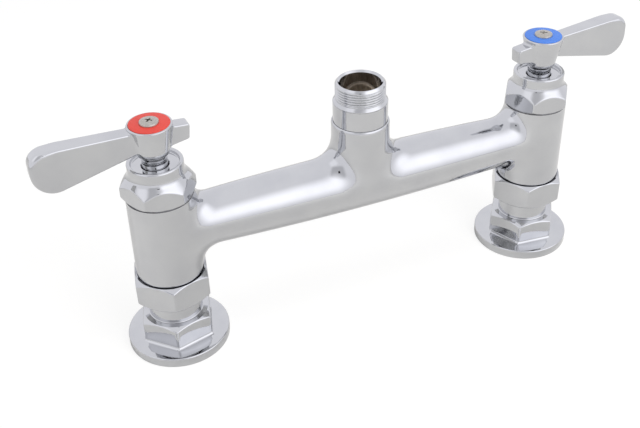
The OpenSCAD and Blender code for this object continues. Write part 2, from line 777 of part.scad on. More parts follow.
// The cartridge body, with its disc space, water windows and the two stops of the quarter turn
module cartridge(side) {
    opening_way = -side;
    turn = side == hot ? hot_lever_turn : cold_lever_turn;
    groove_h = cartridge_ring_d + groove_width_gap;
    wide_r = chamber_r - cartridge_side_gap;
    groove_top = shoulder_z - cartridge_ring_inset;
    window_z = moving_disc_z + turning_gap;
    color("goldenrod")
        difference() {
            rotate_extrude()
                polygon([
                    [0, sleeve_z], [sleeve_r, sleeve_z], [sleeve_r, disc_roof],
                    [wide_r, disc_roof + 1], [wide_r, groove_top - groove_h],
                    [wide_r - cartridge_ring_d, groove_top - groove_h],
                    [wide_r - cartridge_ring_d, groove_top], [wide_r, groove_top], [wide_r, shoulder_z],
                    [bonnet_thread_r, shoulder_z], [bonnet_thread_r, skirt_z],
                    [boss_r, skirt_z], [boss_r, boss_top], [0, boss_top]
                ]);
            difference() {
                translate([0, 0, sleeve_z - 1]) cylinder(r = disc_space_r, h = disc_roof - sleeve_z + 1);
                rotate([0, 0, turn + quarter])
                    translate([0, 0, moving_disc_top + turning_gap])
                        linear_extrude(disc_roof) stops(opening_way);
            }
            translate([0, 0, sleeve_z]) cylinder(r = spindle_bore_r, h = boss_top);
            rotate([0, 0, turn + quarter / 2])
                translate([0, 0, sleeve_z - 1])
                    linear_extrude(moving_disc_z - sleeve_z + 1) disc_lugs(thread_gap);
            rotate([0, 0, turn + quarter])
                translate([0, 0, window_z])
                    linear_extrude(disc_roof - window_z - turning_gap) windows(opening_way);
        }
}

module cartridge_ring() {
    groove_h = cartridge_ring_d + groove_width_gap;
    ring_z = shoulder_z - cartridge_ring_inset - groove_h / 2;
    color("black") sealing_ring(chamber_r - seal_gap, cartridge_ring_d, ring_z);
}

// Heights of the spindle's two sealing rings
spindle_ring_z = [for (i = [1, 2]) disc_roof + i * spindle_ring_step];

module spindle() {
    groove_h = spindle_ring_d + groove_width_gap;
    groove_r = spindle_r - spindle_ring_d - seal_gap;
    clip_z = boss_top + turning_gap;
    clip_groove_r = spindle_r - clip_groove_depth;
    color("goldenrod")
        difference() {
            union() {
                translate([-drive_w / 2, -bar_half, moving_disc_top - drive_key])
                    cube([drive_w, 2 * bar_half, drive_h + drive_key]);
                translate([-drive_w / 2, 0, moving_disc_top + 2 * turning_gap])
                    cube([drive_w, lug_reach, drive_h - 2 * turning_gap]);
                translate([0, 0, moving_disc_top])
                    cylinder(r = spindle_r, h = collar_top - collar_l - moving_disc_top + 1);
                translate([0, 0, collar_top - collar_l]) cylinder(r = collar_r, h = collar_l);
                translate([0, 0, collar_top - 1]) cylinder(r = tip_r, h = tip_l + 1, $fn = 12);
            }
            for (z = spindle_ring_z) ring(spindle_r + 1, groove_r, z - groove_h / 2, groove_h);
            ring(spindle_r + 1, clip_groove_r, clip_z - thread_gap / 2, clip_t + thread_gap);
            translate([0, 0, head_z - screw_l - 1]) cylinder(r = screw_r + thread_gap / 2, h = screw_l);
        }
}

module spindle_rings() {
    color("black")
        for (z = spindle_ring_z) sealing_ring(spindle_r - seal_gap, spindle_ring_d, z);
}

module spindle_clip() {
    clip_z = boss_top + turning_gap;
    inner = spindle_r - clip_groove_depth + thread_gap;
    mouth_w = 2 * inner * clip_mouth_share;
    color("dimgray")
        difference() {
            ring(clip_r, inner, clip_z, clip_t);
            translate([-mouth_w / 2, 0, clip_z - 1]) cube([mouth_w, clip_r + 1, clip_t + 2]);
        }
}

// The lever and its tail seen from the side: x along the lever, y up from the hub's foot
function lever_outline() =
    let (
        rise = tan(lever_rise),
        fall = tan(lever_fall),
        lean = tan(lever_end_lean),
        top_x = lever_reach + tip_top_r * (1 / cos(lever_end_lean) - 1 + lean) / 2,
        top_y = lever_top_h + top_x * rise,
        low_x = (top_x - lean * (top_y - lever_bottom_h)) / (1 - lean * fall),
        tail_top = lever_top_h - tail_reach * tan(tail_top_fall),
        tail_low = tail_top - tail_end_h,
        tail_low_x = -tail_reach + tail_end_h * lean
    )
    rounded([
        [low_x, lever_bottom_h - low_x * fall, tip_bottom_r],
        [top_x, top_y, tip_top_r],
        [0, lever_top_h, 0],
        [-tail_reach, tail_top, tail_corner_r],
        [tail_low_x, tail_low, tail_corner_r],
        [-hub_foot_r, tail_low - tail_fall, 0],
        [0, lever_bottom_h - 1, 0]
    ], 10);

// The lever seen from above, narrow at the tail and round at the tip
function lever_plan() =
    let (
        tail_half = tail_t / 2,
        root_half = lever_root_t / 2,
        tip_half = lever_tip_t / 2,
        tip_round = tip_half * tip_round_share
    )
    rounded([
        [-tail_reach, -tail_half, tail_corner_r], [0, -root_half, 0], [lever_reach, -tip_half, tip_round],
        [lever_reach, tip_half, tip_round], [0, root_half, 0], [-tail_reach, tail_half, tail_corner_r]
    ], 10);

module lever() {
    intersection() {
        translate([0, lever_tip_t, collar_top])
            rotate([90, 0, 0]) linear_extrude(2 * lever_tip_t) polygon(lever_outline());
        translate([0, 0, collar_top - lever_reach])
            linear_extrude(2 * lever_reach + hub_h) polygon(lever_plan());
    }
}

module handle() {
    color("silver")
        difference() {
            union() {
                rotate_extrude()
                    translate([0, collar_top])
                        polygon(rounded([
                            [0, 0, 0], [hub_neck_r, 0, 0], [hub_neck_r, hub_neck_h, hub_round_r],
                            [hub_foot_r, hub_foot_h, hub_round_r],
                            [hub_rim_r, hub_h - hub_chamfer_h, 0],
                            [hub_rim_r - hub_chamfer_w, hub_h, 0], [0, hub_h, 0]
                        ], 4));
                lever();
            }
            translate([0, 0, collar_top - 1])
                cylinder(r = tip_r + thread_gap, h = tip_l + 1 + turning_gap, $fn = 12);
            translate([0, 0, collar_top]) cylinder(r = screw_r + 3 * thread_gap, h = hub_h);
            translate([0, 0, index_z]) cylinder(r = index_r + thread_gap, h = index_recess + 1);
        }
}

module index_disc(shade) {
    edge = 0.3;
    color(shade)
        difference() {
            translate([0, 0, index_z])
                rotate_extrude()
                    polygon([
                        [0, 0], [index_r, 0], [index_r, index_t - edge],
                        [index_r - edge, index_t], [0, index_t]
                    ]);
            translate([0, 0, index_z - 1]) cylinder(r = screw_r + 3 * thread_gap, h = index_t + 2);
        }
}

module handle_screw() {
    edge_h = 0.5;
    shoulder = [0.8 * screw_head_r, 0.85 * screw_head_h];
    crown_r = 0.45 * screw_head_r;
    color("gainsboro")
        difference() {
            union() {
                translate([0, 0, head_z])
                    rotate_extrude()
                        polygon([
                            [0, 0], [screw_head_r, 0], [screw_head_r, edge_h],
                            shoulder, [crown_r, screw_head_h], [0, screw_head_h]
                        ]);
                translate([0, 0, head_z - screw_l]) cylinder(r = screw_r, h = screw_l + edge_h);
            }
            for (a = [0, quarter])
                rotate([0, 0, a + quarter / 2])
                    translate([-recess_span / 2, -recess_w / 2, head_z + screw_head_h - recess_depth])
                        cube([recess_span, recess_w, recess_depth + 1]);
        }
}

faucet_body();
spout_outlet_sleeve();
outlet_sealing_ring();
at(hot) inlet_flange(hot_flange_turn);  // hot_inlet_flange
at(cold) inlet_flange(cold_flange_turn);  // cold_inlet_flange
at(hot) union_washer();  // hot_union_washer
at(cold) union_washer();  // cold_union_washer
at(hot) coupling_nut(hot_nut_turn);  // hot_coupling_nut
at(cold) coupling_nut(cold_nut_turn);  // cold_coupling_nut
at(hot) retaining_ring();  // hot_retaining_ring
at(cold) retaining_ring();  // cold_retaining_ring
at(hot) seat_seal();  // hot_seat_seal
at(cold) seat_seal();  // cold_seat_seal
at(hot) fixed_disc(hot);  // hot_fixed_disc
at(cold) fixed_disc(cold);  // cold_fixed_disc
turning(hot) moving_disc();  // hot_moving_disc
turning(cold) moving_disc();  // cold_moving_disc
at(hot) cartridge(hot);  // hot_cartridge
at(cold) cartridge(cold);  // cold_cartridge
at(hot) cartridge_ring();  // hot_cartridge_ring
at(cold) cartridge_ring();  // cold_cartridge_ring
turning(hot) spindle();  // hot_spindle
turning(cold) spindle();  // cold_spindle
turning(hot) spindle_rings();  // hot_spindle_rings
turning(cold) spindle_rings();  // cold_spindle_rings
turning(hot) spindle_clip();  // hot_spindle_clip
turning(cold) spindle_clip();  // cold_spindle_clip
at(hot) bonnet_gasket();  // hot_bonnet_gasket
at(cold) bonnet_gasket();  // cold_bonnet_gasket
at(hot) bonnet(hot_bonnet_turn);  // hot_bonnet
at(cold) bonnet(cold_bonnet_turn);  // cold_bonnet
turning(hot) handle();  // hot_handle
turning(cold) handle();  // cold_handle
turning(hot) index_disc("tomato");  // hot_index_disc
turning(cold) index_disc("royalblue");  // cold_index_disc
turning(hot) handle_screw();  // hot_handle_screw
turning(cold) handle_screw();  // cold_handle_screw
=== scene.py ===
import bpy
import bmesh
import math
import numpy as np
from mathutils import Matrix, Vector


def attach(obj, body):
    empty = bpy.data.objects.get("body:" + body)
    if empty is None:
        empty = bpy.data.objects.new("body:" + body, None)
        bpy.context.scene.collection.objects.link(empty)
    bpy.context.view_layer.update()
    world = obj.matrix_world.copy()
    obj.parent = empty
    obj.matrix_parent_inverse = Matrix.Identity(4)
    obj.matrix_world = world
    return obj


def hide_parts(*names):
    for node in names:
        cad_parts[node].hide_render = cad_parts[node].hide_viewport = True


mm = 0.001
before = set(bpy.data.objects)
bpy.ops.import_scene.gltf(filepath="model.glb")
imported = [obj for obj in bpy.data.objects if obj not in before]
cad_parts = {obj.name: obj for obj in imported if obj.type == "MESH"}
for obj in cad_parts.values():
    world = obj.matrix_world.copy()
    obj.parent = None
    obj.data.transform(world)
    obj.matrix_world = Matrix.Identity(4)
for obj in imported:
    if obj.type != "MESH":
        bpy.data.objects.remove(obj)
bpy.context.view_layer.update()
print("frame loaded:", len(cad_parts), "nodes")

sides = {"hot": -1, "cold": 1}
halfCentres = 101.6  # from the middle of the faucet to each valve axis

# camera
cameraView = {
    "azimuth": -22.24, "elevation": 35.69, "roll": -1.62,  # degrees
    "distance": 470.81, "target": (-22.41, 0.0, 50.37),  # mm
    "focalPixels": 928.19, "imageWidth": 640, "sensorWidth": 36.0,
}


def addCamera(view):
    azimuth, elevation, roll = (math.radians(view[k]) for k in ("azimuth", "elevation", "roll"))
    back = Vector((
        math.sin(azimuth) * math.cos(elevation),
        -math.cos(azimuth) * math.cos(elevation),
        math.sin(elevation),
    ))
    right = (-back).cross(Vector((0, 0, 1))).normalized()
    up = right.cross(-back)
    rolledRight = right * math.cos(roll) + up * math.sin(roll)
    rolledUp = up * math.cos(roll) - right * math.sin(roll)
    place = (Vector(view["target"]) + back * view["distance"]) * mm
    bpy.ops.object.camera_add(location=place)
    camera = bpy.context.active_object
    turn = Matrix((rolledRight, rolledUp, back)).transposed()
    camera.rotation_euler = turn.to_euler()
    camera.data.sensor_fit = "HORIZONTAL"
    camera.data.sensor_width = view["sensorWidth"]
    camera.data.lens = view["focalPixels"] * view["sensorWidth"] / view["imageWidth"]
    camera.data.clip_start = 0.01
    bpy.context.scene.camera = camera


addCamera(cameraView)
bpy.context.scene.view_settings.view_transform = "Standard"
print("camera placed")


# materials
def linear(hexColour):
    parts = [int(hexColour[i:i + 2], 16) / 255 for i in (1, 3, 5)]
    return [c / 12.92 if c <= 0.04045 else ((c + 0.055) / 1.055) ** 2.4 for c in parts] + [1.0]


def addNode(material, kind, settings=None, **inputs):
    # an input is a plain value, or (node, output) for a link
    tree = material.node_tree
    node = tree.nodes.new(kind)
    for name, value in (settings or {}).items():
        setattr(node, name, value)
    for name, value in inputs.items():
        key = int(name[1:]) if name[0] == "_" and name[1:].isdigit() else name.replace("_", " ")
        socket = node.inputs[key]
        if isinstance(value, tuple) and isinstance(value[0], bpy.types.Node):
            tree.links.new(value[0].outputs[value[1]], socket)
        else:
            socket.default_value = value
    return node


def newMaterial(name):
    material = bpy.data.materials.new(name)
    material.use_nodes = True
    material.node_tree.nodes.clear()
    return material


def setRamp(node, stops, interpolation="LINEAR"):
    ramp = node.color_ramp
    ramp.interpolation = interpolation
    while len(ramp.elements) < len(stops):
        ramp.elements.new(0.5)
    for element, (place, colour) in zip(ramp.elements, stops):
        element.position = place
        element.color = linear(colour) if isinstance(colour, str) else [colour] * 3 + [1.0]


def finishSurface(material, shader):
    addNode(material, "ShaderNodeOutputMaterial", Surface=(shader, 0))
    return material


chromeLook = {
    "colour": "#CFD0D2", "hazeColour": "#C9CACD",  # bright chromium, faintly blue
    "roughnessLow": 0.035, "roughnessHigh": 0.085,
    "hazeSize": 14.0, "ripple": 2.2, "rippleHeight": 0.004,  # mm
}


def makeChrome(look):
    # bright chromium plate over polished nickel: a clear mirror with a faint haze and slow ripples
    material = newMaterial("bright_chrome_plate")
    place = addNode(material, "ShaderNodeTexCoord")
    haze = addNode(material, "ShaderNodeTexNoise", Vector=(place, "Object"),
                   Scale=1 / (look["hazeSize"] * mm), Detail=3.0, Roughness=0.5)
    tint = addNode(material, "ShaderNodeValToRGB", Fac=(haze, 0))
    setRamp(tint, [(0.35, look["colour"]), (0.7, look["hazeColour"])])
    gloss = addNode(material, "ShaderNodeMapRange", Value=(haze, 0), From_Min=0.35, From_Max=0.7,
                    To_Min=look["roughnessLow"], To_Max=look["roughnessHigh"])
    ripple = addNode(material, "ShaderNodeTexNoise", Vector=(place, "Object"),
                     Scale=1 / (look["ripple"] * mm), Detail=2.0, Roughness=0.4)
    bump = addNode(material, "ShaderNodeBump", Height=(ripple, 0), Strength=1.0,
                   Distance=look["rippleHeight"] * mm)
    shader = addNode(material, "ShaderNodeBsdfPrincipled", Base_Color=(tint, 0), Metallic=1.0,
                     Roughness=(gloss, 0), Normal=(bump, 0))
    return finishSurface(material, shader)


brassLook = {"light": "#C9A261", "dark": "#A98246", "turning": 0.25, "grain": 1.6, "roughness": 0.24,
             "metallic": 1.0}


def makeTurnedBrass(name, look):
    # brass left as it was turned: fine rings round the upright axis, slightly dull
    material = newMaterial(name)
    place = addNode(material, "ShaderNodeTexCoord")
    rings = addNode(material, "ShaderNodeTexWave",
                    {"bands_direction": "Z", "wave_profile": "SIN"},
                    Vector=(place, "Object"), Scale=1 / (look["turning"] * mm) / 20,
                    Distortion=1.2, Detail=2.0)
    stain = addNode(material, "ShaderNodeTexNoise", Vector=(place, "Object"),
                    Scale=1 / (look["grain"] * mm), Detail=4.0)
    tint = addNode(material, "ShaderNodeValToRGB", Fac=(stain, 0))
    setRamp(tint, [(0.3, look["light"]), (0.75, look["dark"])])
    bump = addNode(material, "ShaderNodeBump", Height=(rings, 1), Strength=0.5, Distance=0.02 * mm)
    shader = addNode(material, "ShaderNodeBsdfPrincipled", Base_Color=(tint, 0), Metallic=look["metallic"],
                     Roughness=look["roughness"], Normal=(bump, 0))
    return finishSurface(material, shader)


# the outlet's bore: brass under a dull brown skin, so only a little of it shines as metal
boredLook = {"light": "#E2D2BC", "dark": "#BFAA90", "turning": 0.25, "grain": 2.4, "roughness": 0.5,
             "metallic": 0.15}

steelLook = {"light": "#CBC7C0", "dark": "#A8A49D", "grain": 0.5, "roughness": 0.3}


def makeSpringSteel(look):
    # bright stainless steel, stamped and tumbled, a little warm and softly dull
    material = newMaterial("tumbled_stainless_steel")
    place = addNode(material, "ShaderNodeTexCoord")
    grain = addNode(material, "ShaderNodeTexNoise", Vector=(place, "Object"),
                    Scale=1 / (look["grain"] * mm), Detail=4.0)
    tint = addNode(material, "ShaderNodeValToRGB", Fac=(grain, 0))
    setRamp(tint, [(0.35, look["light"]), (0.75, look["dark"])])
    bump = addNode(material, "ShaderNodeBump", Height=(grain, 0), Strength=0.4, Distance=0.02 * mm)
    shader = addNode(material, "ShaderNodeBsdfPrincipled", Base_Color=(tint, 0), Metallic=1.0,
                     Roughness=look["roughness"], Normal=(bump, 0))
    return finishSurface(material, shader)


def makePlain(name, light, dark, grain, roughness, bumpHeight, metallic=0.0):
    # a solid material with the fine grain of how it was made; grain and bump heights in mm
    material = newMaterial(name)
    place = addNode(material, "ShaderNodeTexCoord")
    noise = addNode(material, "ShaderNodeTexNoise", Vector=(place, "Object"),
                    Scale=1 / (grain * mm), Detail=4.0, Roughness=0.6)
    tint = addNode(material, "ShaderNodeValToRGB", Fac=(noise, 0))
    setRamp(tint, [(0.3, light), (0.75, dark)])
    bump = addNode(material, "ShaderNodeBump", Height=(noise, 0), Strength=0.5,
                   Distance=bumpHeight * mm)
    shader = addNode(material, "ShaderNodeBsdfPrincipled", Base_Color=(tint, 0), Metallic=metallic,
                     Roughness=roughness, Normal=(bump, 0))
    return finishSurface(material, shader)


chrome = makeChrome(chromeLook)
brass = makeTurnedBrass("turned_brass", brassLook)
boredBrass = makeTurnedBrass("bored_brass_dull", boredLook)
steel = makeSpringSteel(steelLook)
# nitrile rubber, moulded: black with a soft sheen
rubber = makePlain("moulded_nitrile_rubber", "#1D1D1E", "#2A2A2B", 0.4, 0.55, 0.01)
# pressed fibre with graphite: matt dark grey, flecked
fibre = makePlain("pressed_graphite_fibre", "#8C8C8E", "#737377", 0.3, 0.85, 0.03)
# lapped alumina: white, hard and nearly mirror flat
ceramic = makePlain("lapped_alumina_ceramic", "#EDEBE6", "#E0DED8", 0.8, 0.18, 0.002)
# moulded acetal: clean even colour with a fine gloss
redDisc = makePlain("moulded_red_acetal", "#E8483A", "#E04033", 2.5, 0.38, 0.004)
blueDisc = makePlain("moulded_blue_acetal", "#4A86E4", "#427CDB", 2.5, 0.38, 0.004)
print("materials made")


# modelling helpers
def startEdit(obj):
    bpy.ops.object.select_all(action="DESELECT")
    obj.select_set(True)
    bpy.context.view_layer.objects.active = obj
    bpy.ops.object.mode_set(mode="EDIT")


def endEdit():
    bpy.ops.object.mode_set(mode="OBJECT")


def settle(obj):
    # the object goes to the origin, unturned, with its place in its mesh
    bpy.ops.object.select_all(action="DESELECT")
    obj.select_set(True)
    bpy.context.view_layer.objects.active = obj
    bpy.ops.object.transform_apply(location=True, rotation=True, scale=True)


def pickVertices(obj, test):
    # selects the vertices that pass a test on their place in mm
    mesh = bmesh.from_edit_mesh(obj.data)
    bpy.ops.mesh.select_all(action="DESELECT")
    for vertex in mesh.verts:
        if test(vertex.co / mm):
            vertex.select_set(True)
    mesh.select_flush(True)
    bmesh.update_edit_mesh(obj.data)


def sweepLoop(steps, start, axis):
    # extrudes the selected loop through (radius, height) steps about an upright axis
    radius, height = start
    for nextRadius, nextHeight in steps:
        bpy.ops.mesh.extrude_edges_move()
        bpy.ops.transform.translate(value=(0, 0, (nextHeight - height) * mm))
        share = max(nextRadius, 1e-4) / radius
        bpy.ops.transform.resize(value=(share, share, 1),
                                 center_override=(axis[0] * mm, axis[1] * mm, nextHeight * mm))
        radius, height = max(nextRadius, 1e-4), nextHeight


def addTurned(name, profile, axisX, segments=128, turn=0):
    # a turned piece: a circle extruded through the profile's (radius, height) points, in mm
    bpy.ops.object.select_all(action="DESELECT")
    bpy.ops.mesh.primitive_circle_add(vertices=segments, radius=profile[0][0] * mm,
                                      location=(axisX * mm, 0, profile[0][1] * mm),
                                      rotation=(0, 0, math.radians(turn - 90)))
    obj = bpy.context.active_object
    obj.name = name
    settle(obj)
    startEdit(obj)
    bpy.ops.mesh.select_all(action="SELECT")
    sweepLoop(profile[1:], profile[0], (axisX, 0))
    bpy.ops.mesh.select_all(action="SELECT")
    bpy.ops.mesh.remove_doubles(threshold=0.002 * mm)
    bpy.ops.mesh.normals_make_consistent(inside=False)
    endEdit()
    return obj


def denser(profile, step):
    # more points along a profile, no further apart than step
    out = [profile[0]]
    for a, b in zip(profile, profile[1:]):
        pieces = max(1, math.ceil(math.dist(a, b) / step))
        out += [(a[0] + (b[0] - a[0]) * i / pieces, a[1] + (b[1] - a[1]) * i / pieces)
                for i in range(1, pieces + 1)]
    return out


hexSegments = 216  # a multiple of 12, so that columns stand on the corners and mid flats


def pressFlats(obj, axisX, flats, turn, low, high, cornerRounding, footFillet, blend=0.5):
    # six flats pressed into a turned piece between two heights, with rounded upright edges
    half = flats / 2
    sink = cornerRounding / math.cos(math.pi / 6) - cornerRounding
    cornerCentre = half / math.cos(math.pi / 6) - cornerRounding - sink
    for vertex in obj.data.vertices:
        x, y, z = vertex.co.x / mm - axisX, vertex.co.y / mm, vertex.co.z / mm
        radius = math.hypot(x, y)
        if not low <= z <= high or radius < half - 2:
            continue
        angle = math.degrees(math.atan2(y, x)) - turn
        sector = math.floor(angle / 60)
        share = (angle / 60 - sector) * 2 - 1  # -1 and 1 at the corners, 0 at the flat's middle
        crowded = 0.5 * share + 0.5 * (1.5 * share - 0.5 * share ** 3)
        fromMiddle = math.radians(crowded * 30)
        fromCorner = math.pi / 6 - abs(fromMiddle)
        flat = half / math.cos(fromMiddle)
        across = cornerCentre * math.sin(fromCorner)
        if across < cornerRounding:
            arcRadius = cornerCentre * math.cos(fromCorner) + math.sqrt(cornerRounding ** 2 - across ** 2)
            flat = min(flat, arcRadius)
        rise = z - low
        if footFillet and rise < footFillet:
            flat += footFillet - math.sqrt(max(footFillet ** 2 - (footFillet - rise) ** 2, 0))
        near = max(blend - abs(radius - flat), 0)
        newRadius = min(radius, flat) - near ** 2 / (4 * blend)
        direction = math.radians(turn + (sector + 0.5) * 60) + fromMiddle
        vertex.co.x = (axisX + newRadius * math.cos(direction)) * mm
        vertex.co.y = newRadius * math.sin(direction) * mm


def rounding(corner, before, after, radius, steps=5):
    # points of a fillet at a profile's corner
    p, a, b = (Vector(v) for v in (corner, before, after))
    u, v = (a - p).normalized(), (b - p).normalized()
    half = math.acos(max(-1, min(1, u.dot(v)))) / 2
    centre = p + (u + v).normalized() * radius / math.sin(half)
    start = p + u * radius / math.tan(half) - centre
    sweep = math.atan2(start.x * (p + v * radius / math.tan(half) - centre).y
                       - start.y * (p + v * radius / math.tan(half) - centre).x,
                       start.dot(p + v * radius / math.tan(half) - centre))
    first = math.atan2(start.y, start.x)
    return [tuple(centre + radius * Vector((math.cos(first + sweep * i / steps),
                                            math.sin(first + sweep * i / steps))))
            for i in range(steps + 1)]


def roundedProfile(points, closed=True, steps=5):
    # points are (radius, height) or (radius, height, rounding radius)
    flat = [p[:2] for p in points]
    count = len(points)
    out = []
    for i, p in enumerate(points):
        if len(p) == 3 and p[2] > 0:
            out += rounding(flat[i], flat[i - 1], flat[(i + 1) % count], p[2], steps)
        else:
            out.append(flat[i])
    if closed:
        out.append(out[0])
    return out


def combine(obj, other, operation):
    # one boolean step, applied, with the other object used up
    bpy.ops.object.select_all(action="DESELECT")
    obj.select_set(True)
    bpy.context.view_layer.objects.active = obj
    step = obj.modifiers.new(operation.lower(), "BOOLEAN")
    step.operation = operation
    step.solver = "EXACT"
    step.object = other
    bpy.ops.object.modifier_apply(modifier=step.name)
    bpy.data.objects.remove(other, do_unlink=True)


def smoothShade(obj, degrees=30):
    bpy.ops.object.select_all(action="DESELECT")
    obj.select_set(True)
    bpy.context.view_layer.objects.active = obj
    bpy.ops.object.shade_smooth_by_angle(angle=math.radians(degrees))


def place(obj, material, body, slotName, *nodes):
    # the finished piece gets its finish, its body and the CAD nodes that it stands for
    obj.data.materials.clear()
    obj.data.materials.append(material)
    if nodes:
        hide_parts(*nodes)
    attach(obj, body)


def settleOnSkin(obj, gap, rounds=6, relax=3):
    # every vertex slides onto the surface where gap(points in mm) is zero
    count = len(obj.data.vertices)
    flat = np.empty(count * 3)
    reach = 0.02
    for turnIndex in range(rounds):
        if turnIndex < rounds - 2:
            startEdit(obj)
            bpy.ops.mesh.select_all(action="SELECT")
            bpy.ops.mesh.vertices_smooth(factor=0.5, repeat=relax)
            endEdit()
        obj.data.vertices.foreach_get("co", flat)
        points = flat.reshape(-1, 3) / mm
        for _ in range(3):
            value = gap(points)
            slope = np.stack([
                (gap(points + step) - gap(points - step)) / (2 * reach)
                for step in np.eye(3) * reach
            ], axis=1)
            size = np.maximum((slope ** 2).sum(axis=1), 0.2)
            move = -(value / size)[:, None] * slope
            points = points + np.clip(move, -1.0, 1.0)
        obj.data.vertices.foreach_set("co", (points * mm).ravel())
        obj.data.update()


def voxelSkin(obj, size):
    bpy.ops.object.select_all(action="DESELECT")
    obj.select_set(True)
    bpy.context.view_layer.objects.active = obj
    remesh = obj.modifiers.new("skin", "REMESH")
    remesh.mode = "VOXEL"
    remesh.voxel_size = size * mm
    bpy.ops.object.modifier_apply(modifier=remesh.name)


def joinAll(objects):
    bpy.ops.object.select_all(action="DESELECT")
    for obj in objects:
        obj.select_set(True)
    bpy.context.view_layer.objects.active = objects[0]
    bpy.ops.object.join()
    return objects[0]


def lengthOf(*parts):
    return np.sqrt(sum(np.square(p) for p in parts))


def filleted(a, b, radius, facing, least):
    # two skins joined by a fillet, which shrinks to its least share where they face the same way
    reach = radius * (least + (1 - least) * np.clip(1 - facing, 0, 1))
    near = np.maximum(reach - np.abs(a - b), 0)
    return np.minimum(a, b) - near ** 2 / (4 * reach)


# body casting
castingSizes = {
    "tubeRadius": 14.8, "tubeSlim": 2.7, "tubeHeight": 66.4, "tubeEnd": 94.0,
    "legTopRadius": 15.8, "legFootRadius": 16.4, "legFoot": 41.6, "legTop": 86.0,
    "riserRadius": 14.3, "riserTop": 100.5, "legFillet": 10.5, "lowLegFillet": 12.5, "riserFillet": 13.0,
    "leastFillet": 0.3,
    "footRounding": 1.0, "rimWidth": 0.8, "rimHeight": 1.6, "riserBore": 13.5, "riserStep": 11.9,
    "spigotRadius": 12.6, "spigotFoot": 37.0, "waterway": 7.0, "chamber": 11.4,
    "topBore": 13.1, "voxel": 0.8,
}


def castingGap(points):
    s = castingSizes
    x, y = np.abs(points[:, 0]), points[:, 1]
    z = points[:, 2] - s["tubeHeight"]
    tubeRadius = s["tubeRadius"] - s["tubeSlim"] * (x / halfCentres) ** 2
    tube = lengthOf(np.maximum(x - s["tubeEnd"], 0), y, z) - tubeRadius
    across = np.maximum(lengthOf(y, z), 0.01)
    rise = (points[:, 2] - s["legFoot"]) / (s["legTop"] - s["legFoot"])
    legRadius = s["legFootRadius"] + (s["legTopRadius"] - s["legFootRadius"]) * rise
    fromLeg = np.maximum(lengthOf(x - halfCentres, y), 0.01)
    fromRiser = np.maximum(lengthOf(x, y), 0.01)
    legFillet = np.interp(z, [-6, 6], [s["lowLegFillet"], s["legFillet"]])
    legSkin = filleted(tube, fromLeg - legRadius, legFillet, y ** 2 / across / fromLeg,
                       s["leastFillet"])
    riser = lengthOf(x, y, np.minimum(z, 0)) - s["riserRadius"]
    facing = np.where(z > 0, y ** 2 / across / fromRiser,
                      across / np.maximum(lengthOf(x, y, z), 0.01))
    least = np.interp(z, [-8, 5], [0.01, s["leastFillet"]])
    riserSkin = filleted(tube, riser, s["riserFillet"], facing, least)
    return np.where(x > halfCentres / 2, legSkin, riserSkin)


def addBar(radius, low, high, axisX, sideways=False):
    bpy.ops.object.select_all(action="DESELECT")
    middle = (low + high) / 2
    spot = (middle, 0, castingSizes["tubeHeight"]) if sideways else (axisX, 0, middle)
    bpy.ops.mesh.primitive_cylinder_add(
        vertices=96, radius=radius * mm, depth=(high - low) * mm,
        location=[c * mm for c in spot], rotation=(0, math.pi / 2 if sideways else 0, 0))
    obj = bpy.context.active_object
    settle(obj)
    return obj


def trimAt(obj, height, keepBelow, test):
    # cuts the picked part at a height and leaves the new rim selected
    pickVertices(obj, test)
    bpy.ops.mesh.bisect(plane_co=(0, 0, height * mm), plane_no=(0, 0, 1), use_fill=False,
                        clear_outer=keepBelow, clear_inner=not keepBelow, threshold=1e-7)
    pickVertices(obj, lambda p: abs(p.z - height) < 0.002 and test(p))


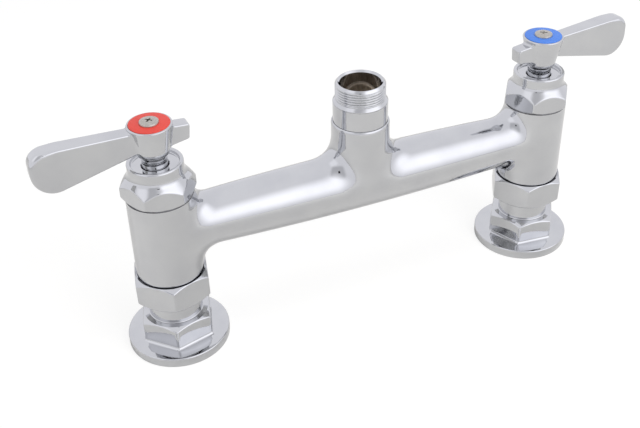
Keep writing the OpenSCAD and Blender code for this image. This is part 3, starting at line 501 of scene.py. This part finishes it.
def addCasting():
    s = castingSizes
    over = 4.0
    bars = [addBar(s["tubeRadius"] - 1, -halfCentres, halfCentres, 0, sideways=True),
            addBar(s["riserRadius"], s["tubeHeight"], s["riserTop"] + over, 0)]
    bars += [addBar(s["legTopRadius"], s["legFoot"] - over, s["legTop"] + over, side * halfCentres)
             for side in sides.values()]
    obj = joinAll(bars)
    obj.name = "faucet_body_casting"
    voxelSkin(obj, s["voxel"])
    startEdit(obj)
    # the remeshed ends are flat caps: they come off before the skin is settled
    trimAt(obj, s["riserTop"] + over - 1.5, True, lambda p: abs(p.x) < 30)
    trimAt(obj, s["legTop"] + over - 1.5, True, lambda p: abs(p.x) > 70)
    trimAt(obj, s["legFoot"] - over + 1.5, False, lambda p: abs(p.x) > 70)
    endEdit()
    settleOnSkin(obj, castingGap)
    startEdit(obj)
    wide, tall = s["rimWidth"], s["rimHeight"]
    quarterTurn = [math.radians(90 * i / 6) for i in range(1, 7)]
    trimAt(obj, s["riserTop"] - tall, True, lambda p: abs(p.x) < 30)
    steps = [(s["riserRadius"] - wide + wide * math.cos(a), s["riserTop"] - tall + tall * math.sin(a))
             for a in quarterTurn]
    steps[-1] = (max(steps[-1][0], s["riserBore"]), s["riserTop"])
    steps += [(s["riserBore"], s["riserTop"]), (s["riserBore"], 99.1), (s["riserStep"], 99.1),
              (s["riserStep"], 88.2), (8.4, 88.2), (8.4, 72.0), (0.0, 71.0)]
    sweepLoop(steps, (s["riserRadius"], s["riserTop"] - tall), (0, 0))
    for side in sides.values():
        axis = (side * halfCentres, 0)
        onSide = lambda p, side=side: p.x * side > 70
        trimAt(obj, s["legTop"], True, onSide)
        sweepLoop([(s["topBore"], s["legTop"]), (s["topBore"], 75.0), (s["chamber"], 75.0),
                   (s["chamber"], 57.0), (s["waterway"], 57.0), (0.0, 56.9)],
                  (s["legTopRadius"], s["legTop"]), axis)
        foot = s["footRounding"]
        trimAt(obj, s["legFoot"] + foot, False, onSide)
        steps = [(s["legFootRadius"] - foot + foot * math.cos(a), s["legFoot"] + foot - foot * math.sin(a))
                 for a in quarterTurn]
        steps += [(s["spigotRadius"], s["legFoot"]), (s["spigotRadius"], s["spigotFoot"]),
                  (s["waterway"], s["spigotFoot"]), (s["waterway"], 56.0), (0.0, 56.1)]
        sweepLoop(steps, (s["legFootRadius"], s["legFoot"] + foot), axis)
    bpy.ops.mesh.select_all(action="SELECT")
    bpy.ops.mesh.remove_doubles(threshold=0.002 * mm)
    bpy.ops.mesh.normals_make_consistent(inside=False)
    endEdit()
    smoothShade(obj, 35)
    place(obj, chrome, "faucet", "chrome", "faucet_body")


addCasting()
print("body casting made")


# inlet flanges
flangeSizes = {
    "radius": 25.5, "thickness": 5.5, "rimRounding": 0.7, "hexFlats": 33.0, "hexTop": 18.0,
    "hexChamfer": 1.8, "hexLand": 0.4, "hexFillet": 1.7, "crown": 0.4, "cornerRounding": 0.7,
    "neckRadius": 13.2, "neckTop": 35.5, "boreRadius": 9.0, "boreTop": 15.0, "waterway": 7.0,
    "turns": {"hot": -105.5, "cold": -126.0},
}


def addFlange(sideName):
    s = flangeSizes
    axisX = sides[sideName] * halfCentres
    land = s["hexFlats"] / 2 - s["hexLand"]
    corner = s["hexFlats"] / math.sqrt(3)
    profile = roundedProfile([
        (s["boreRadius"] + 0.8, 0), (s["radius"], 0, s["rimRounding"]),
        (s["radius"], s["thickness"] - s["crown"], s["rimRounding"]),
        (corner + s["hexFillet"] + 1.0, s["thickness"] - 0.04)], closed=False)
    profile += denser([
        (corner + s["hexFillet"] + 0.4, s["thickness"]),
        (corner + s["hexFillet"] + 0.3, s["thickness"] + 0.05)] + [
        (corner + s["hexFillet"] + 0.2, s["thickness"] + s["hexFillet"] * i / 8) for i in range(1, 9)] + [
        (corner + 0.4, s["thickness"] + s["hexFillet"] * 1.2),
        (corner + 0.4, s["hexTop"] - s["hexChamfer"] - 0.25), (land, s["hexTop"])], 0.45)
    profile += roundedProfile([
        (land, s["hexTop"]), (s["neckRadius"], s["hexTop"], 0.5), (s["neckRadius"], s["neckTop"] - 0.6),
        (s["neckRadius"] - 0.6, s["neckTop"]), (s["waterway"], s["neckTop"]),
        (s["waterway"], s["boreTop"] + 1.2), (s["boreRadius"], s["boreTop"]), (s["boreRadius"], 0.8)],
        closed=False)[1:]
    profile.append(profile[0])
    obj = addTurned(sideName + "_inlet_flange_turned", profile, axisX, hexSegments, s["turns"][sideName])
    pressFlats(obj, axisX, s["hexFlats"], s["turns"][sideName], s["thickness"] + 0.01, s["hexTop"],
               s["cornerRounding"], s["hexFillet"])
    smoothShade(obj, 30)
    place(obj, chrome, "faucet", "chrome", sideName + "_inlet_flange")


for sideName in sides:
    addFlange(sideName)
print("inlet flanges made")


# coupling nuts
nutSizes = {
    "flats": 34.8, "low": 29.0, "high": 43.0, "chamfer": 1.9, "land": 0.1, "cornerRounding": 0.9,
    "boreRadius": 13.3, "lip": 38.8, "lipRadius": 12.8, "floor": 40.8, "mouthRadius": 17.0,
    "turns": {"hot": -102.0, "cold": -119.5},
}


def addNut(sideName):
    s = nutSizes
    axisX = sides[sideName] * halfCentres
    land = s["flats"] / 2 - s["land"]
    wide = s["flats"] / math.sqrt(3) + 0.3
    profile = [(s["boreRadius"] + 0.8, s["low"])]
    profile += denser([(land, s["low"]), (wide, s["low"] + s["chamfer"] + 0.2),
                       (wide, s["high"] - s["chamfer"] - 0.2), (land, s["high"])], 0.4)
    profile += [(s["mouthRadius"] + 0.12, s["high"]), (s["mouthRadius"], s["high"] - 0.12),
                (s["mouthRadius"], s["floor"]), (s["lipRadius"], s["floor"]), (s["lipRadius"], s["lip"]),
                (s["boreRadius"], s["lip"]), (s["boreRadius"], s["low"] + 0.8)]
    profile.append(profile[0])
    obj = addTurned(sideName + "_coupling_nut_forged", profile, axisX, hexSegments, s["turns"][sideName])
    pressFlats(obj, axisX, s["flats"], s["turns"][sideName], s["low"] - 1, s["high"] + 1,
               s["cornerRounding"], 0)
    smoothShade(obj, 30)
    place(obj, chrome, "faucet", "chrome", sideName + "_coupling_nut")


for sideName in sides:
    addNut(sideName)
print("coupling nuts made")


# bonnets
bonnetSizes = {
    "flats": 30.6, "low": 86.4, "footRadius": 15.6, "chamfer": 1.9, "widest": 17.92,
    "turnRadius": 3.0, "beltHeight": 4.9, "lean": 40.0, "neckRadius": 12.9, "top": 104.2,
    "neckFillet": 5.0, "rimRounding": 0.9, "wellRadius": 11.0, "wellFloor": 102.2,
    "holeRadius": 6.21, "insideRadius": 10.4, "cornerRounding": 0.55, "flatBlend": 0.3,
    "threadRadius": 13.0, "skirt": 77.6, "cavityTop": 93.7,
    "turns": {"hot": -125.0, "cold": -127.5},
}


def addBonnet(sideName):
    s = bonnetSizes
    axisX = sides[sideName] * halfCentres
    lean = math.radians(s["lean"])
    centre = (s["widest"] - s["turnRadius"], s["low"] + s["beltHeight"])
    dome = [(centre[0] + s["turnRadius"] * math.cos(lean * i / 8),
             centre[1] + s["turnRadius"] * math.sin(lean * i / 8)) for i in range(9)]
    neckFoot = (s["neckRadius"], dome[-1][1] + (dome[-1][0] - s["neckRadius"]) / math.tan(lean))
    neckTop = (s["neckRadius"], s["top"])
    profile = [(s["threadRadius"], s["low"])]
    profile += denser([(s["footRadius"] - 0.15, s["low"]), (s["footRadius"], s["low"] + 0.15),
                       (s["widest"], s["low"] + s["chamfer"])] + dome, 0.4)
    profile += denser([dome[-1]] + rounding(neckFoot, dome[-1], neckTop, s["neckFillet"], 8), 0.5)[1:]
    profile += rounding(neckTop, neckFoot, (0, s["top"]), s["rimRounding"], 7)
    wellTop, wellFoot = (s["wellRadius"], s["top"]), (s["wellRadius"], s["wellFloor"])
    profile += rounding(wellTop, neckTop, wellFoot, s["rimRounding"], 7)
    profile += rounding(wellFoot, wellTop, (0, s["wellFloor"]), 0.4, 4)
    profile += [(s["holeRadius"] + 0.4, s["wellFloor"]), (s["holeRadius"], s["wellFloor"] - 0.4),
                (s["holeRadius"], s["cavityTop"] + s["insideRadius"] - s["holeRadius"]),
                (s["insideRadius"], s["cavityTop"]), (s["insideRadius"], s["skirt"] + 0.5),
                (s["insideRadius"] + 0.5, s["skirt"]), (s["threadRadius"] - 0.5, s["skirt"]),
                (s["threadRadius"], s["skirt"] + 0.5), (s["threadRadius"], s["low"])]
    obj = addTurned(sideName + "_bonnet_forged", profile, axisX, hexSegments, s["turns"][sideName])
    pressFlats(obj, axisX, s["flats"], s["turns"][sideName], s["low"] - 0.1, neckFoot[1] - 0.5,
               s["cornerRounding"], 0, s["flatBlend"])
    smoothShade(obj, 30)
    place(obj, chrome, "faucet", "chrome", sideName + "_bonnet")


for sideName in sides:
    addBonnet(sideName)
print("bonnets made")


# spout outlet
outletSizes = {
    "collarRadius": 13.35, "seat": 99.1, "collarTop": 112.2, "step": 1.2, "line": 110.4,
    "lineWidth": 0.35, "lineDepth": 0.2, "threadRadius": 12.2, "top": 121.0, "chamfer": 1.1,
    "socketRadius": 10.0, "socketFloor": 104.0, "tailRadius": 11.8, "tailFoot": 88.5,
    "waterway": 8.4, "pitch": 1.27, "threadDepth": 0.62, "threadFoot": 112.6, "threadEnd": 119.5,
    "rows": 16, "mouthChamfer": 0.9,
}


def addOutlet():
    s = outletSizes
    tall = s["threadEnd"] - s["threadFoot"]
    rows = int(round(tall / s["pitch"] * s["rows"]))
    threadRows = [(s["threadRadius"], s["threadFoot"] + tall * i / rows) for i in range(rows + 1)]
    profile = [
        (s["waterway"], s["tailFoot"]), (s["tailRadius"], s["tailFoot"]),
        (s["tailRadius"], s["tailFoot"] + 1.4), (s["tailRadius"] - 1.8, s["tailFoot"] + 1.4),
        (s["tailRadius"] - 1.8, s["tailFoot"] + 3.5), (s["tailRadius"], s["tailFoot"] + 3.5),
        (s["tailRadius"], s["seat"]), (s["collarRadius"], s["seat"]),
        (s["collarRadius"], s["line"]), (s["collarRadius"] - s["lineDepth"], s["line"] + 0.1),
        (s["collarRadius"] - s["lineDepth"], s["line"] + s["lineWidth"] - 0.1),
        (s["collarRadius"], s["line"] + s["lineWidth"]),
        (s["collarRadius"], s["collarTop"] - s["step"] - 0.15),
        (s["collarRadius"] - 0.1, s["collarTop"] - s["step"]), (s["threadRadius"] - 0.1, s["collarTop"]),
    ]
    profile += threadRows
    profile += [
        (s["threadRadius"] - 0.05, s["top"] - s["chamfer"]), (s["threadRadius"] - s["chamfer"], s["top"]),
        (s["socketRadius"] + s["mouthChamfer"], s["top"]),
        (s["socketRadius"], s["top"] - s["mouthChamfer"]), (s["socketRadius"], s["socketFloor"]),
        (s["waterway"], s["socketFloor"]), (s["waterway"], s["tailFoot"]),
    ]
    obj = addTurned("spout_outlet_threaded", profile, 0, 160)
    for vertex in obj.data.vertices:
        x, y, z = vertex.co / mm
        radius = math.hypot(x, y)
        if s["threadFoot"] <= z <= s["threadEnd"] and radius > s["threadRadius"] - 0.02:
            turn = math.atan2(y, x) / (2 * math.pi)
            phase = ((z - s["threadFoot"]) / s["pitch"] - turn) % 1
            fade = min(1, (z - s["threadFoot"]) / 0.5, (s["threadEnd"] - z) / 0.5)
            depth = s["threadDepth"] * fade * (0.5 - 0.5 * math.cos(2 * math.pi * phase)) ** 1.6
            vertex.co.x *= (radius - depth) / radius
            vertex.co.y *= (radius - depth) / radius
    smoothShade(obj, 40)
    place(obj, chrome, "faucet", "chrome", "spout_outlet_sleeve")
    obj.data.materials.append(boredBrass)
    for face in obj.data.polygons:
        centre = face.center / mm
        if math.hypot(centre.x, centre.y) < s["socketRadius"] - 0.01 and centre.z < s["top"] - 0.9:
            face.material_index = 1


addOutlet()
print("spout outlet made")


# handles
handleSizes = {
    "foot": 104.2, "hubTop": 123.1, "neckRadius": 5.94, "neckHeight": 2.4, "coneFoot": 7.4,
    "coneHeight": 4.3, "rimRadius": 10.3, "reach": 53.5, "topHeight": 17.1, "rise": 2.1,
    "lowHeight": 8.4, "fall": 13.4, "endLean": 6.0, "rootThickness": 6.9, "tipThickness": 9.4,
    "tipTopRound": 7.0, "tipLowRound": 10.0, "tailReach": 17.3, "tailHeight": 7.4, "tailThickness": 6.6,
    "tailTopFall": 4.3, "tailLowFall": 1.6, "tailCorner": 1.2,
    "topEdge": 0.8, "lowEdge": 1.1, "endEdge": 3.0, "endSpan": 14.0, "tailEdge": 0.7, "fillet": 1.6,
    "voxel": 0.36, "discRecess": 1.5, "discHole": 9.4, "boreRadius": 4.05, "boreDepth": 10.6,
    "footRound": 1.1, "rimRounding": 0.5, "footGroove": 0.5, "footGrooveDepth": 1.1,
    "turns": {"hot": 181.8, "cold": 6.4},
}


def outlineGap(u, v, corners, radii):
    # signed distance to a convex outline of straight edges, with its corners rounded by radii
    best = np.full_like(u, -1e9)
    for i, corner in enumerate(corners):
        nextCorner = corners[(i + 1) % len(corners)]
        ex, ey = nextCorner[0] - corner[0], nextCorner[1] - corner[1]
        size = math.hypot(ex, ey)
        best = np.maximum(best, ((u - corner[0]) * ey - (v - corner[1]) * ex) / size)
    for i, corner in enumerate(corners):
        radius = radii[i]
        if radius <= 0:
            continue
        before, after = corners[i - 1], corners[(i + 1) % len(corners)]
        p = Vector(corner)
        a, b = (Vector(before) - p).normalized(), (Vector(after) - p).normalized()
        half = math.acos(a.dot(b)) / 2
        centre = p + (a + b).normalized() * radius / math.sin(half)
        towards = (p - centre).normalized()
        du, dv = u - centre.x, v - centre.y
        away = lengthOf(du, dv)
        inWedge = (du * towards.x + dv * towards.y) > away * math.cos(math.pi / 2 - half)
        best = np.where(inWedge, away - radius, best)
    return best


def leverCorners():
    s = handleSizes
    rise, fall, lean = (math.tan(math.radians(s[k])) for k in ("rise", "fall", "endLean"))
    topX = s["reach"] + 0.39
    topY = s["topHeight"] + topX * rise
    lowX = (topX - lean * (topY - s["lowHeight"])) / (1 - lean * fall)
    return [(0.0, s["lowHeight"]), (lowX, s["lowHeight"] - lowX * fall),
            (topX, topY), (0.0, s["topHeight"])]


def tailCorners():
    s = handleSizes
    top = s["topHeight"] - s["tailReach"] * math.tan(math.radians(s["tailTopFall"]))
    low = top - s["tailHeight"]
    lowX = -s["tailReach"] + s["tailHeight"] * math.tan(math.radians(s["endLean"]))
    lowFall = s["tailLowFall"] / (-lowX - s["coneFoot"])
    return [(lowX, low), (0.0, low + lowX * lowFall), (0.0, s["topHeight"]), (-s["tailReach"], top)]


def handleGap(points):
    # points in mm, with the lever along +X and the valve axis at the origin
    s = handleSizes
    x, y, z = points[:, 0], points[:, 1], points[:, 2] - s["foot"]
    half = np.interp(x, [-s["tailReach"], 0, s["reach"]],
                     [s[k] / 2 for k in ("tailThickness", "rootThickness", "tipThickness")])
    corners = leverCorners()
    side = outlineGap(np.maximum(x, 0.0), z, corners, [0, s["tipLowRound"], s["tipTopRound"], 0])
    topLine = s["topHeight"] + x * math.tan(math.radians(s["rise"]))
    lowLine = s["lowHeight"] - x * math.tan(math.radians(s["fall"]))
    # the edges' rounding: small along the top, larger below and largest round the tip
    upShare = np.clip((z - lowLine) / np.maximum(topLine - lowLine, 1), 0, 1)
    edge = s["lowEdge"] + (s["topEdge"] - s["lowEdge"]) * upShare ** 2
    tipShare = np.clip((x - (s["reach"] - s["endSpan"])) / (s["endSpan"] - 1.5), 0, 1)
    tipShare = tipShare * tipShare * (3 - 2 * tipShare)
    edge = edge + (s["endEdge"] - edge) * tipShare * upShare
    a, b = side + edge, np.abs(y) - half + edge
    blade = np.minimum(np.maximum(a, b), 0) + lengthOf(np.maximum(a, 0), np.maximum(b, 0)) - edge
    tailSide = outlineGap(np.minimum(x, 0.0), z, tailCorners(), [s["tailCorner"], 0, 0, s["tailCorner"]])
    edge = s["tailEdge"]
    a, b = tailSide + edge, np.abs(y) - half + edge
    nub = np.minimum(np.maximum(a, b), 0) + lengthOf(np.maximum(a, 0), np.maximum(b, 0)) - edge
    blade = np.where(x > 0, blade, nub)
    fromAxis = np.maximum(lengthOf(x, y), 0.01)
    cone = (s["rimRadius"] - s["coneFoot"]) / (s["hubTop"] - s["foot"] - s["coneHeight"])
    over = 6.0
    hubTop = s["hubTop"] - s["foot"] + over
    cup = outlineGap(fromAxis, z, [(-20.0, s["neckHeight"]), (s["neckRadius"], s["neckHeight"]),
                                   (s["coneFoot"], s["coneHeight"]), (s["rimRadius"] + cone * over, hubTop),
                                   (-20.0, hubTop)], [0, 0, s["footRound"], 0, 0])
    hub = np.minimum(cup, fromAxis - s["neckRadius"])
    reach = s["fillet"]
    near = np.maximum(reach - np.abs(blade - hub), 0)
    return np.minimum(blade, hub) - near ** 2 / (4 * reach)


def addWedge(corners, thickness):
    # a cube whose corners go to a four-cornered outline, seen from the side
    bpy.ops.object.select_all(action="DESELECT")
    bpy.ops.mesh.primitive_cube_add(size=1)
    wedge = bpy.context.active_object
    byHeight = sorted(corners, key=lambda corner: corner[1])
    low, high = sorted(byHeight[:2]), sorted(byHeight[2:])
    for vertex in wedge.data.vertices:
        x, z = (high if vertex.co.z > 0 else low)[int(vertex.co.x > 0)]
        vertex.co = (x * mm, vertex.co.y * thickness * mm, (z + handleSizes["foot"]) * mm)
    return wedge


def addHandle(sideName):
    s = handleSizes
    over = 3.0
    blade = addWedge(leverCorners(), s["tipThickness"])
    tail = addWedge(tailCorners(), s["tailThickness"])
    bpy.ops.object.select_all(action="DESELECT")
    bpy.ops.mesh.primitive_cylinder_add(vertices=64, radius=8.5 * mm, depth=(18.9 + 2 * over) * mm,
                                        location=(0, 0, (s["foot"] + 9.45) * mm))
    hub = bpy.context.active_object
    settle(hub)
    handle = joinAll([blade, tail, hub])
    handle.name = sideName + "_lever_handle_cast"
    voxelSkin(handle, s["voxel"])
    startEdit(handle)
    onHub = lambda p: math.hypot(p.x, p.y) < 12
    trimAt(handle, s["foot"] + 18.9 + over - 1, True, onHub)
    trimAt(handle, s["foot"] - over + 1, False, onHub)
    endEdit()
    settleOnSkin(handle, handleGap, rounds=10, relax=3)
    startEdit(handle)
    rim = s["rimRounding"]
    rimRadius = s["rimRadius"] - 0.05
    trimAt(handle, s["hubTop"] - rim, True, onHub)
    quarterTurn = [math.radians(90 * i / 4) for i in range(1, 5)]
    steps = [(rimRadius - rim + rim * math.cos(a), s["hubTop"] - rim + rim * math.sin(a))
             for a in quarterTurn]
    steps += [(s["discHole"], s["hubTop"]), (s["discHole"], s["hubTop"] - s["discRecess"]),
              (2.3, s["hubTop"] - s["discRecess"]), (2.3, s["foot"] + s["boreDepth"]),
              (s["boreRadius"], s["foot"] + s["boreDepth"]), (s["boreRadius"], s["foot"])]
    sweepLoop(steps, (rimRadius, s["hubTop"] - rim), (0, 0))
    groove = s["foot"] + s["footGroove"]
    inside = s["neckRadius"] - s["footGrooveDepth"]
    trimAt(handle, groove + 0.15, False, lambda p: onHub(p) and math.hypot(p.x, p.y) > 5)
    sweepLoop([(s["neckRadius"] - 0.15, groove), (inside, groove), (inside, s["foot"]),
               (s["boreRadius"], s["foot"])], (s["neckRadius"], groove + 0.15), (0, 0))
    bpy.ops.mesh.select_all(action="SELECT")
    bpy.ops.mesh.remove_doubles(threshold=0.002 * mm)
    bpy.ops.mesh.normals_make_consistent(inside=False)
    endEdit()
    turnPiece(handle, sideName)
    smoothShade(handle, 35)
    place(handle, chrome, sideName + "_valve", "chrome", sideName + "_handle")


def turnPiece(obj, sideName):
    # from the middle of the faucet to its valve axis, turned to the closed lever's direction
    turn = Matrix.Rotation(math.radians(handleSizes["turns"][sideName]), 4, "Z")
    shift = Matrix.Translation((sides[sideName] * halfCentres * mm, 0, 0))
    obj.data.transform(shift @ turn)


for sideName in sides:
    addHandle(sideName)
print("handles made")


# index discs and screws
discSizes = {"radius": 9.3, "low": 121.6, "top": 123.4, "hole": 2.3, "edge": 0.3}
screwSizes = {
    "headRadius": 4.5, "low": 123.4, "top": 124.9, "edge": 0.5, "shankRadius": 2.0, "shankFoot": 109.4,
    "recessSpan": 4.6, "recessWidth": 1.0, "recessDepth": 1.0,
}


def addDisc(sideName, material, slotName):
    s = discSizes
    disc = addTurned(sideName + "_index_disc_moulded", roundedProfile([
        (s["hole"], s["low"]), (s["radius"], s["low"], 0.2), (s["radius"], s["top"], s["edge"]),
        (s["hole"], s["top"])]), 0, 128)
    turnPiece(disc, sideName)
    smoothShade(disc, 30)
    place(disc, material, sideName + "_valve", slotName, sideName + "_index_disc")


def addScrew(sideName):
    s = screwSizes
    screw = addTurned(sideName + "_screw_pan_head", [
        (0.001, s["shankFoot"]), (s["shankRadius"] - 0.4, s["shankFoot"]),
        (s["shankRadius"], s["shankFoot"] + 0.4), (s["shankRadius"], s["low"]),
        (s["headRadius"], s["low"]), (s["headRadius"], s["low"] + s["edge"]),
        (s["headRadius"] * 0.95, s["low"] + 0.95), (s["headRadius"] * 0.8, s["low"] + 1.27),
        (s["headRadius"] * 0.6, s["low"] + 1.43), (s["headRadius"] * 0.35, s["top"]),
        (0.001, s["top"])], 0, 96)
    for turn in (45, 135):
        bpy.ops.object.select_all(action="DESELECT")
        bpy.ops.mesh.primitive_cube_add(
            size=1, location=(0, 0, s["top"] * mm), rotation=(0, 0, math.radians(turn)),
            scale=(s["recessSpan"] * mm, s["recessWidth"] * mm, 2 * s["recessDepth"] * mm))
        slot = bpy.context.active_object
        settle(slot)
        startEdit(slot)
        pickVertices(slot, lambda p: p.z < s["top"])
        bpy.ops.transform.resize(value=(0.6, 0.6, 1), center_override=(0, 0, s["top"] * mm))
        endEdit()
        combine(screw, slot, "DIFFERENCE")
    turnPiece(screw, sideName)
    smoothShade(screw, 30)
    place(screw, steel, sideName + "_valve", "steel", sideName + "_handle_screw")


addDisc("hot", redDisc, "index_red")
addDisc("cold", blueDisc, "index_blue")
for sideName in sides:
    addScrew(sideName)
print("index discs and screws made")


# pieces kept from the frame
keptFinishes = {
    "spindle": chrome, "spindle_rings": rubber, "spindle_clip": steel, "cartridge": brass,
    "cartridge_ring": rubber, "seat_seal": rubber, "fixed_disc": ceramic, "moving_disc": ceramic,
    "bonnet_gasket": fibre, "union_washer": fibre, "retaining_ring": steel,
}
for sideName in sides:
    for part, material in keptFinishes.items():
        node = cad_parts[sideName + "_" + part]
        node.data.materials.clear()
        node.data.materials.append(material)
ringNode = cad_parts["outlet_sealing_ring"]
ringNode.data.materials.clear()
ringNode.data.materials.append(rubber)
print("inner pieces finished")


# studio
studioLook = {
    "floorSize": 1.7, "floorColour": "#F3F2EF", "floorSeen": 0.75, "floorGlow": 1.1, "floorMirrored": 0.06,
    "skyLit": 0.42, "skyMirrored": 1.06, "skyColour": "#F3F3F8",
    # what the chrome mirrors: direction, half width and half height, softness, strength
    "patches": [
        ((0.43, -0.74, 0.515), 0.62, 0.42, 0.35, 0.74),  # the large softbox on the right
        ((-0.70, -0.19, 0.69), 0.25, 0.30, 0.15, 0.22),  # the smaller one on the left
        ((-0.34, -0.70, 0.62), 0.36, 0.42, 0.12, -0.33),  # the dim gap round the camera
    ],
    # name, place, size, aim in metres, and watts
    "lamps": [
        ("softbox_above", (0.1, -0.1, 1.2), (0.7, 0.7), (0, 0, 0.06), 5.6),
        ("softbox_right", (0.18, -0.45, 0.45), (0.4, 0.4), (0.05, -0.15, 0), 1.5),
    ],
    "patchLit": 0.25,  # share of the patches that lights matt surfaces
    "cameraBody": (0.06, 0.05, 0.02),  # metres
    "cameraBehind": 1.06, "cameraColour": "#202024",
}


def addStudio(look):
    scene = bpy.context.scene
    bpy.ops.object.select_all(action="DESELECT")
    bpy.ops.mesh.primitive_plane_add(size=look["floorSize"], location=(0, 0, 0))
    floor = bpy.context.active_object
    floor.name = "floor"
    material = newMaterial("matt_white_floor")
    paths = addNode(material, "ShaderNodeLightPath")
    seen = addNode(material, "ShaderNodeMath", {"operation": "MULTIPLY"},
                   _0=(paths, "Is Camera Ray"), _1=look["floorSeen"])
    mirrored = addNode(material, "ShaderNodeMath", {"operation": "MULTIPLY"},
                       _0=(paths, "Is Glossy Ray"), _1=look["floorMirrored"])
    share = addNode(material, "ShaderNodeMath", {"operation": "ADD"}, _0=(seen, 0), _1=(mirrored, 0))
    matt = addNode(material, "ShaderNodeBsdfDiffuse", Color=linear(look["floorColour"]), Roughness=1.0)
    glow = addNode(material, "ShaderNodeEmission", Strength=look["floorGlow"])
    both = addNode(material, "ShaderNodeMixShader", _0=(share, 0), _1=(matt, 0), _2=(glow, 0))
    finishSurface(material, both)
    floor.data.materials.append(material)

    world = bpy.data.worlds.new("white_studio")
    scene.world = world
    world.use_nodes = True
    world.node_tree.nodes.clear()
    direction = addNode(world, "ShaderNodeTexCoord")
    total = None
    for towards, halfWidth, halfHeight, softness, strength in look["patches"]:
        axis = Vector(towards).normalized()
        across = axis.cross(Vector((0, 0, 1))).normalized()
        depth, side, rise = (
            addNode(world, "ShaderNodeVectorMath", {"operation": "DOT_PRODUCT"},
                    _0=(direction, "Generated"), _1=tuple(v))
            for v in (axis, across, across.cross(axis)))
        ahead = addNode(world, "ShaderNodeMath", {"operation": "MAXIMUM"}, _0=(depth, "Value"), _1=0.05)
        patch = None
        for part, half in ((side, halfWidth), (rise, halfHeight)):
            slope = addNode(world, "ShaderNodeMath", {"operation": "DIVIDE"},
                            _0=(part, "Value"), _1=(ahead, 0))
            far = addNode(world, "ShaderNodeMath", {"operation": "ABSOLUTE"}, _0=(slope, 0))
            edge = addNode(world, "ShaderNodeMapRange", {"interpolation_type": "SMOOTHSTEP"},
                           Value=(far, 0), From_Min=half + softness, From_Max=half - softness)
            patch = addNode(world, "ShaderNodeMath", {"operation": "MULTIPLY"}, _0=(edge, 0),
                            _1=(patch, 0) if patch else strength)
        if total:
            total = addNode(world, "ShaderNodeMath", {"operation": "ADD"}, _0=(total, 0), _1=(patch, 0))
        else:
            total = patch
    paths = addNode(world, "ShaderNodeLightPath")
    mirrored = addNode(world, "ShaderNodeMath", {"operation": "ADD"}, _0=(total, 0), _1=look["skyMirrored"])
    dim = addNode(world, "ShaderNodeMath", {"operation": "MULTIPLY"}, _0=(total, 0), _1=look["patchLit"])
    lit = addNode(world, "ShaderNodeMath", {"operation": "ADD"}, _0=(dim, 0), _1=look["skyLit"])
    choice = addNode(world, "ShaderNodeMix", {"data_type": "FLOAT"}, _0=(paths, "Is Glossy Ray"),
                     _2=(lit, 0), _3=(mirrored, 0))
    sky = addNode(world, "ShaderNodeBackground", Color=linear(look["skyColour"]), Strength=(choice, 0))
    backdrop = addNode(world, "ShaderNodeBackground", Color=(1.0, 1.0, 1.0, 1.0), Strength=1.0)
    either = addNode(world, "ShaderNodeMixShader", _0=(paths, "Is Camera Ray"), _1=(sky, 0),
                     _2=(backdrop, 0))
    addNode(world, "ShaderNodeOutputWorld", Surface=(either, 0))

    for name, spot, size, aim, watts in look["lamps"]:
        bpy.ops.object.light_add(type="AREA", location=spot)
        lamp = bpy.context.active_object
        lamp.name = name
        lamp.data.shape = "RECTANGLE"
        lamp.data.size, lamp.data.size_y = size
        lamp.data.energy = watts
        lamp.visible_glossy = False  # the sky's soft patches are what the chrome mirrors
        lamp.rotation_euler = (Vector(aim) - Vector(spot)).to_track_quat("-Z", "Y").to_euler()

    # the camera's own dark body, seen only in the chrome
    view = scene.camera
    bpy.ops.mesh.primitive_cube_add(
        size=1, location=view.location * look["cameraBehind"], rotation=view.rotation_euler,
        scale=look["cameraBody"])
    body = bpy.context.active_object
    body.name = "camera_body"
    body.visible_camera = body.visible_diffuse = body.visible_shadow = False
    black = newMaterial("black_camera_body")
    finishSurface(black, addNode(black, "ShaderNodeBsdfDiffuse", Color=linear(look["cameraColour"])))
    body.data.materials.append(black)


addStudio(studioLook)
print("studio made")
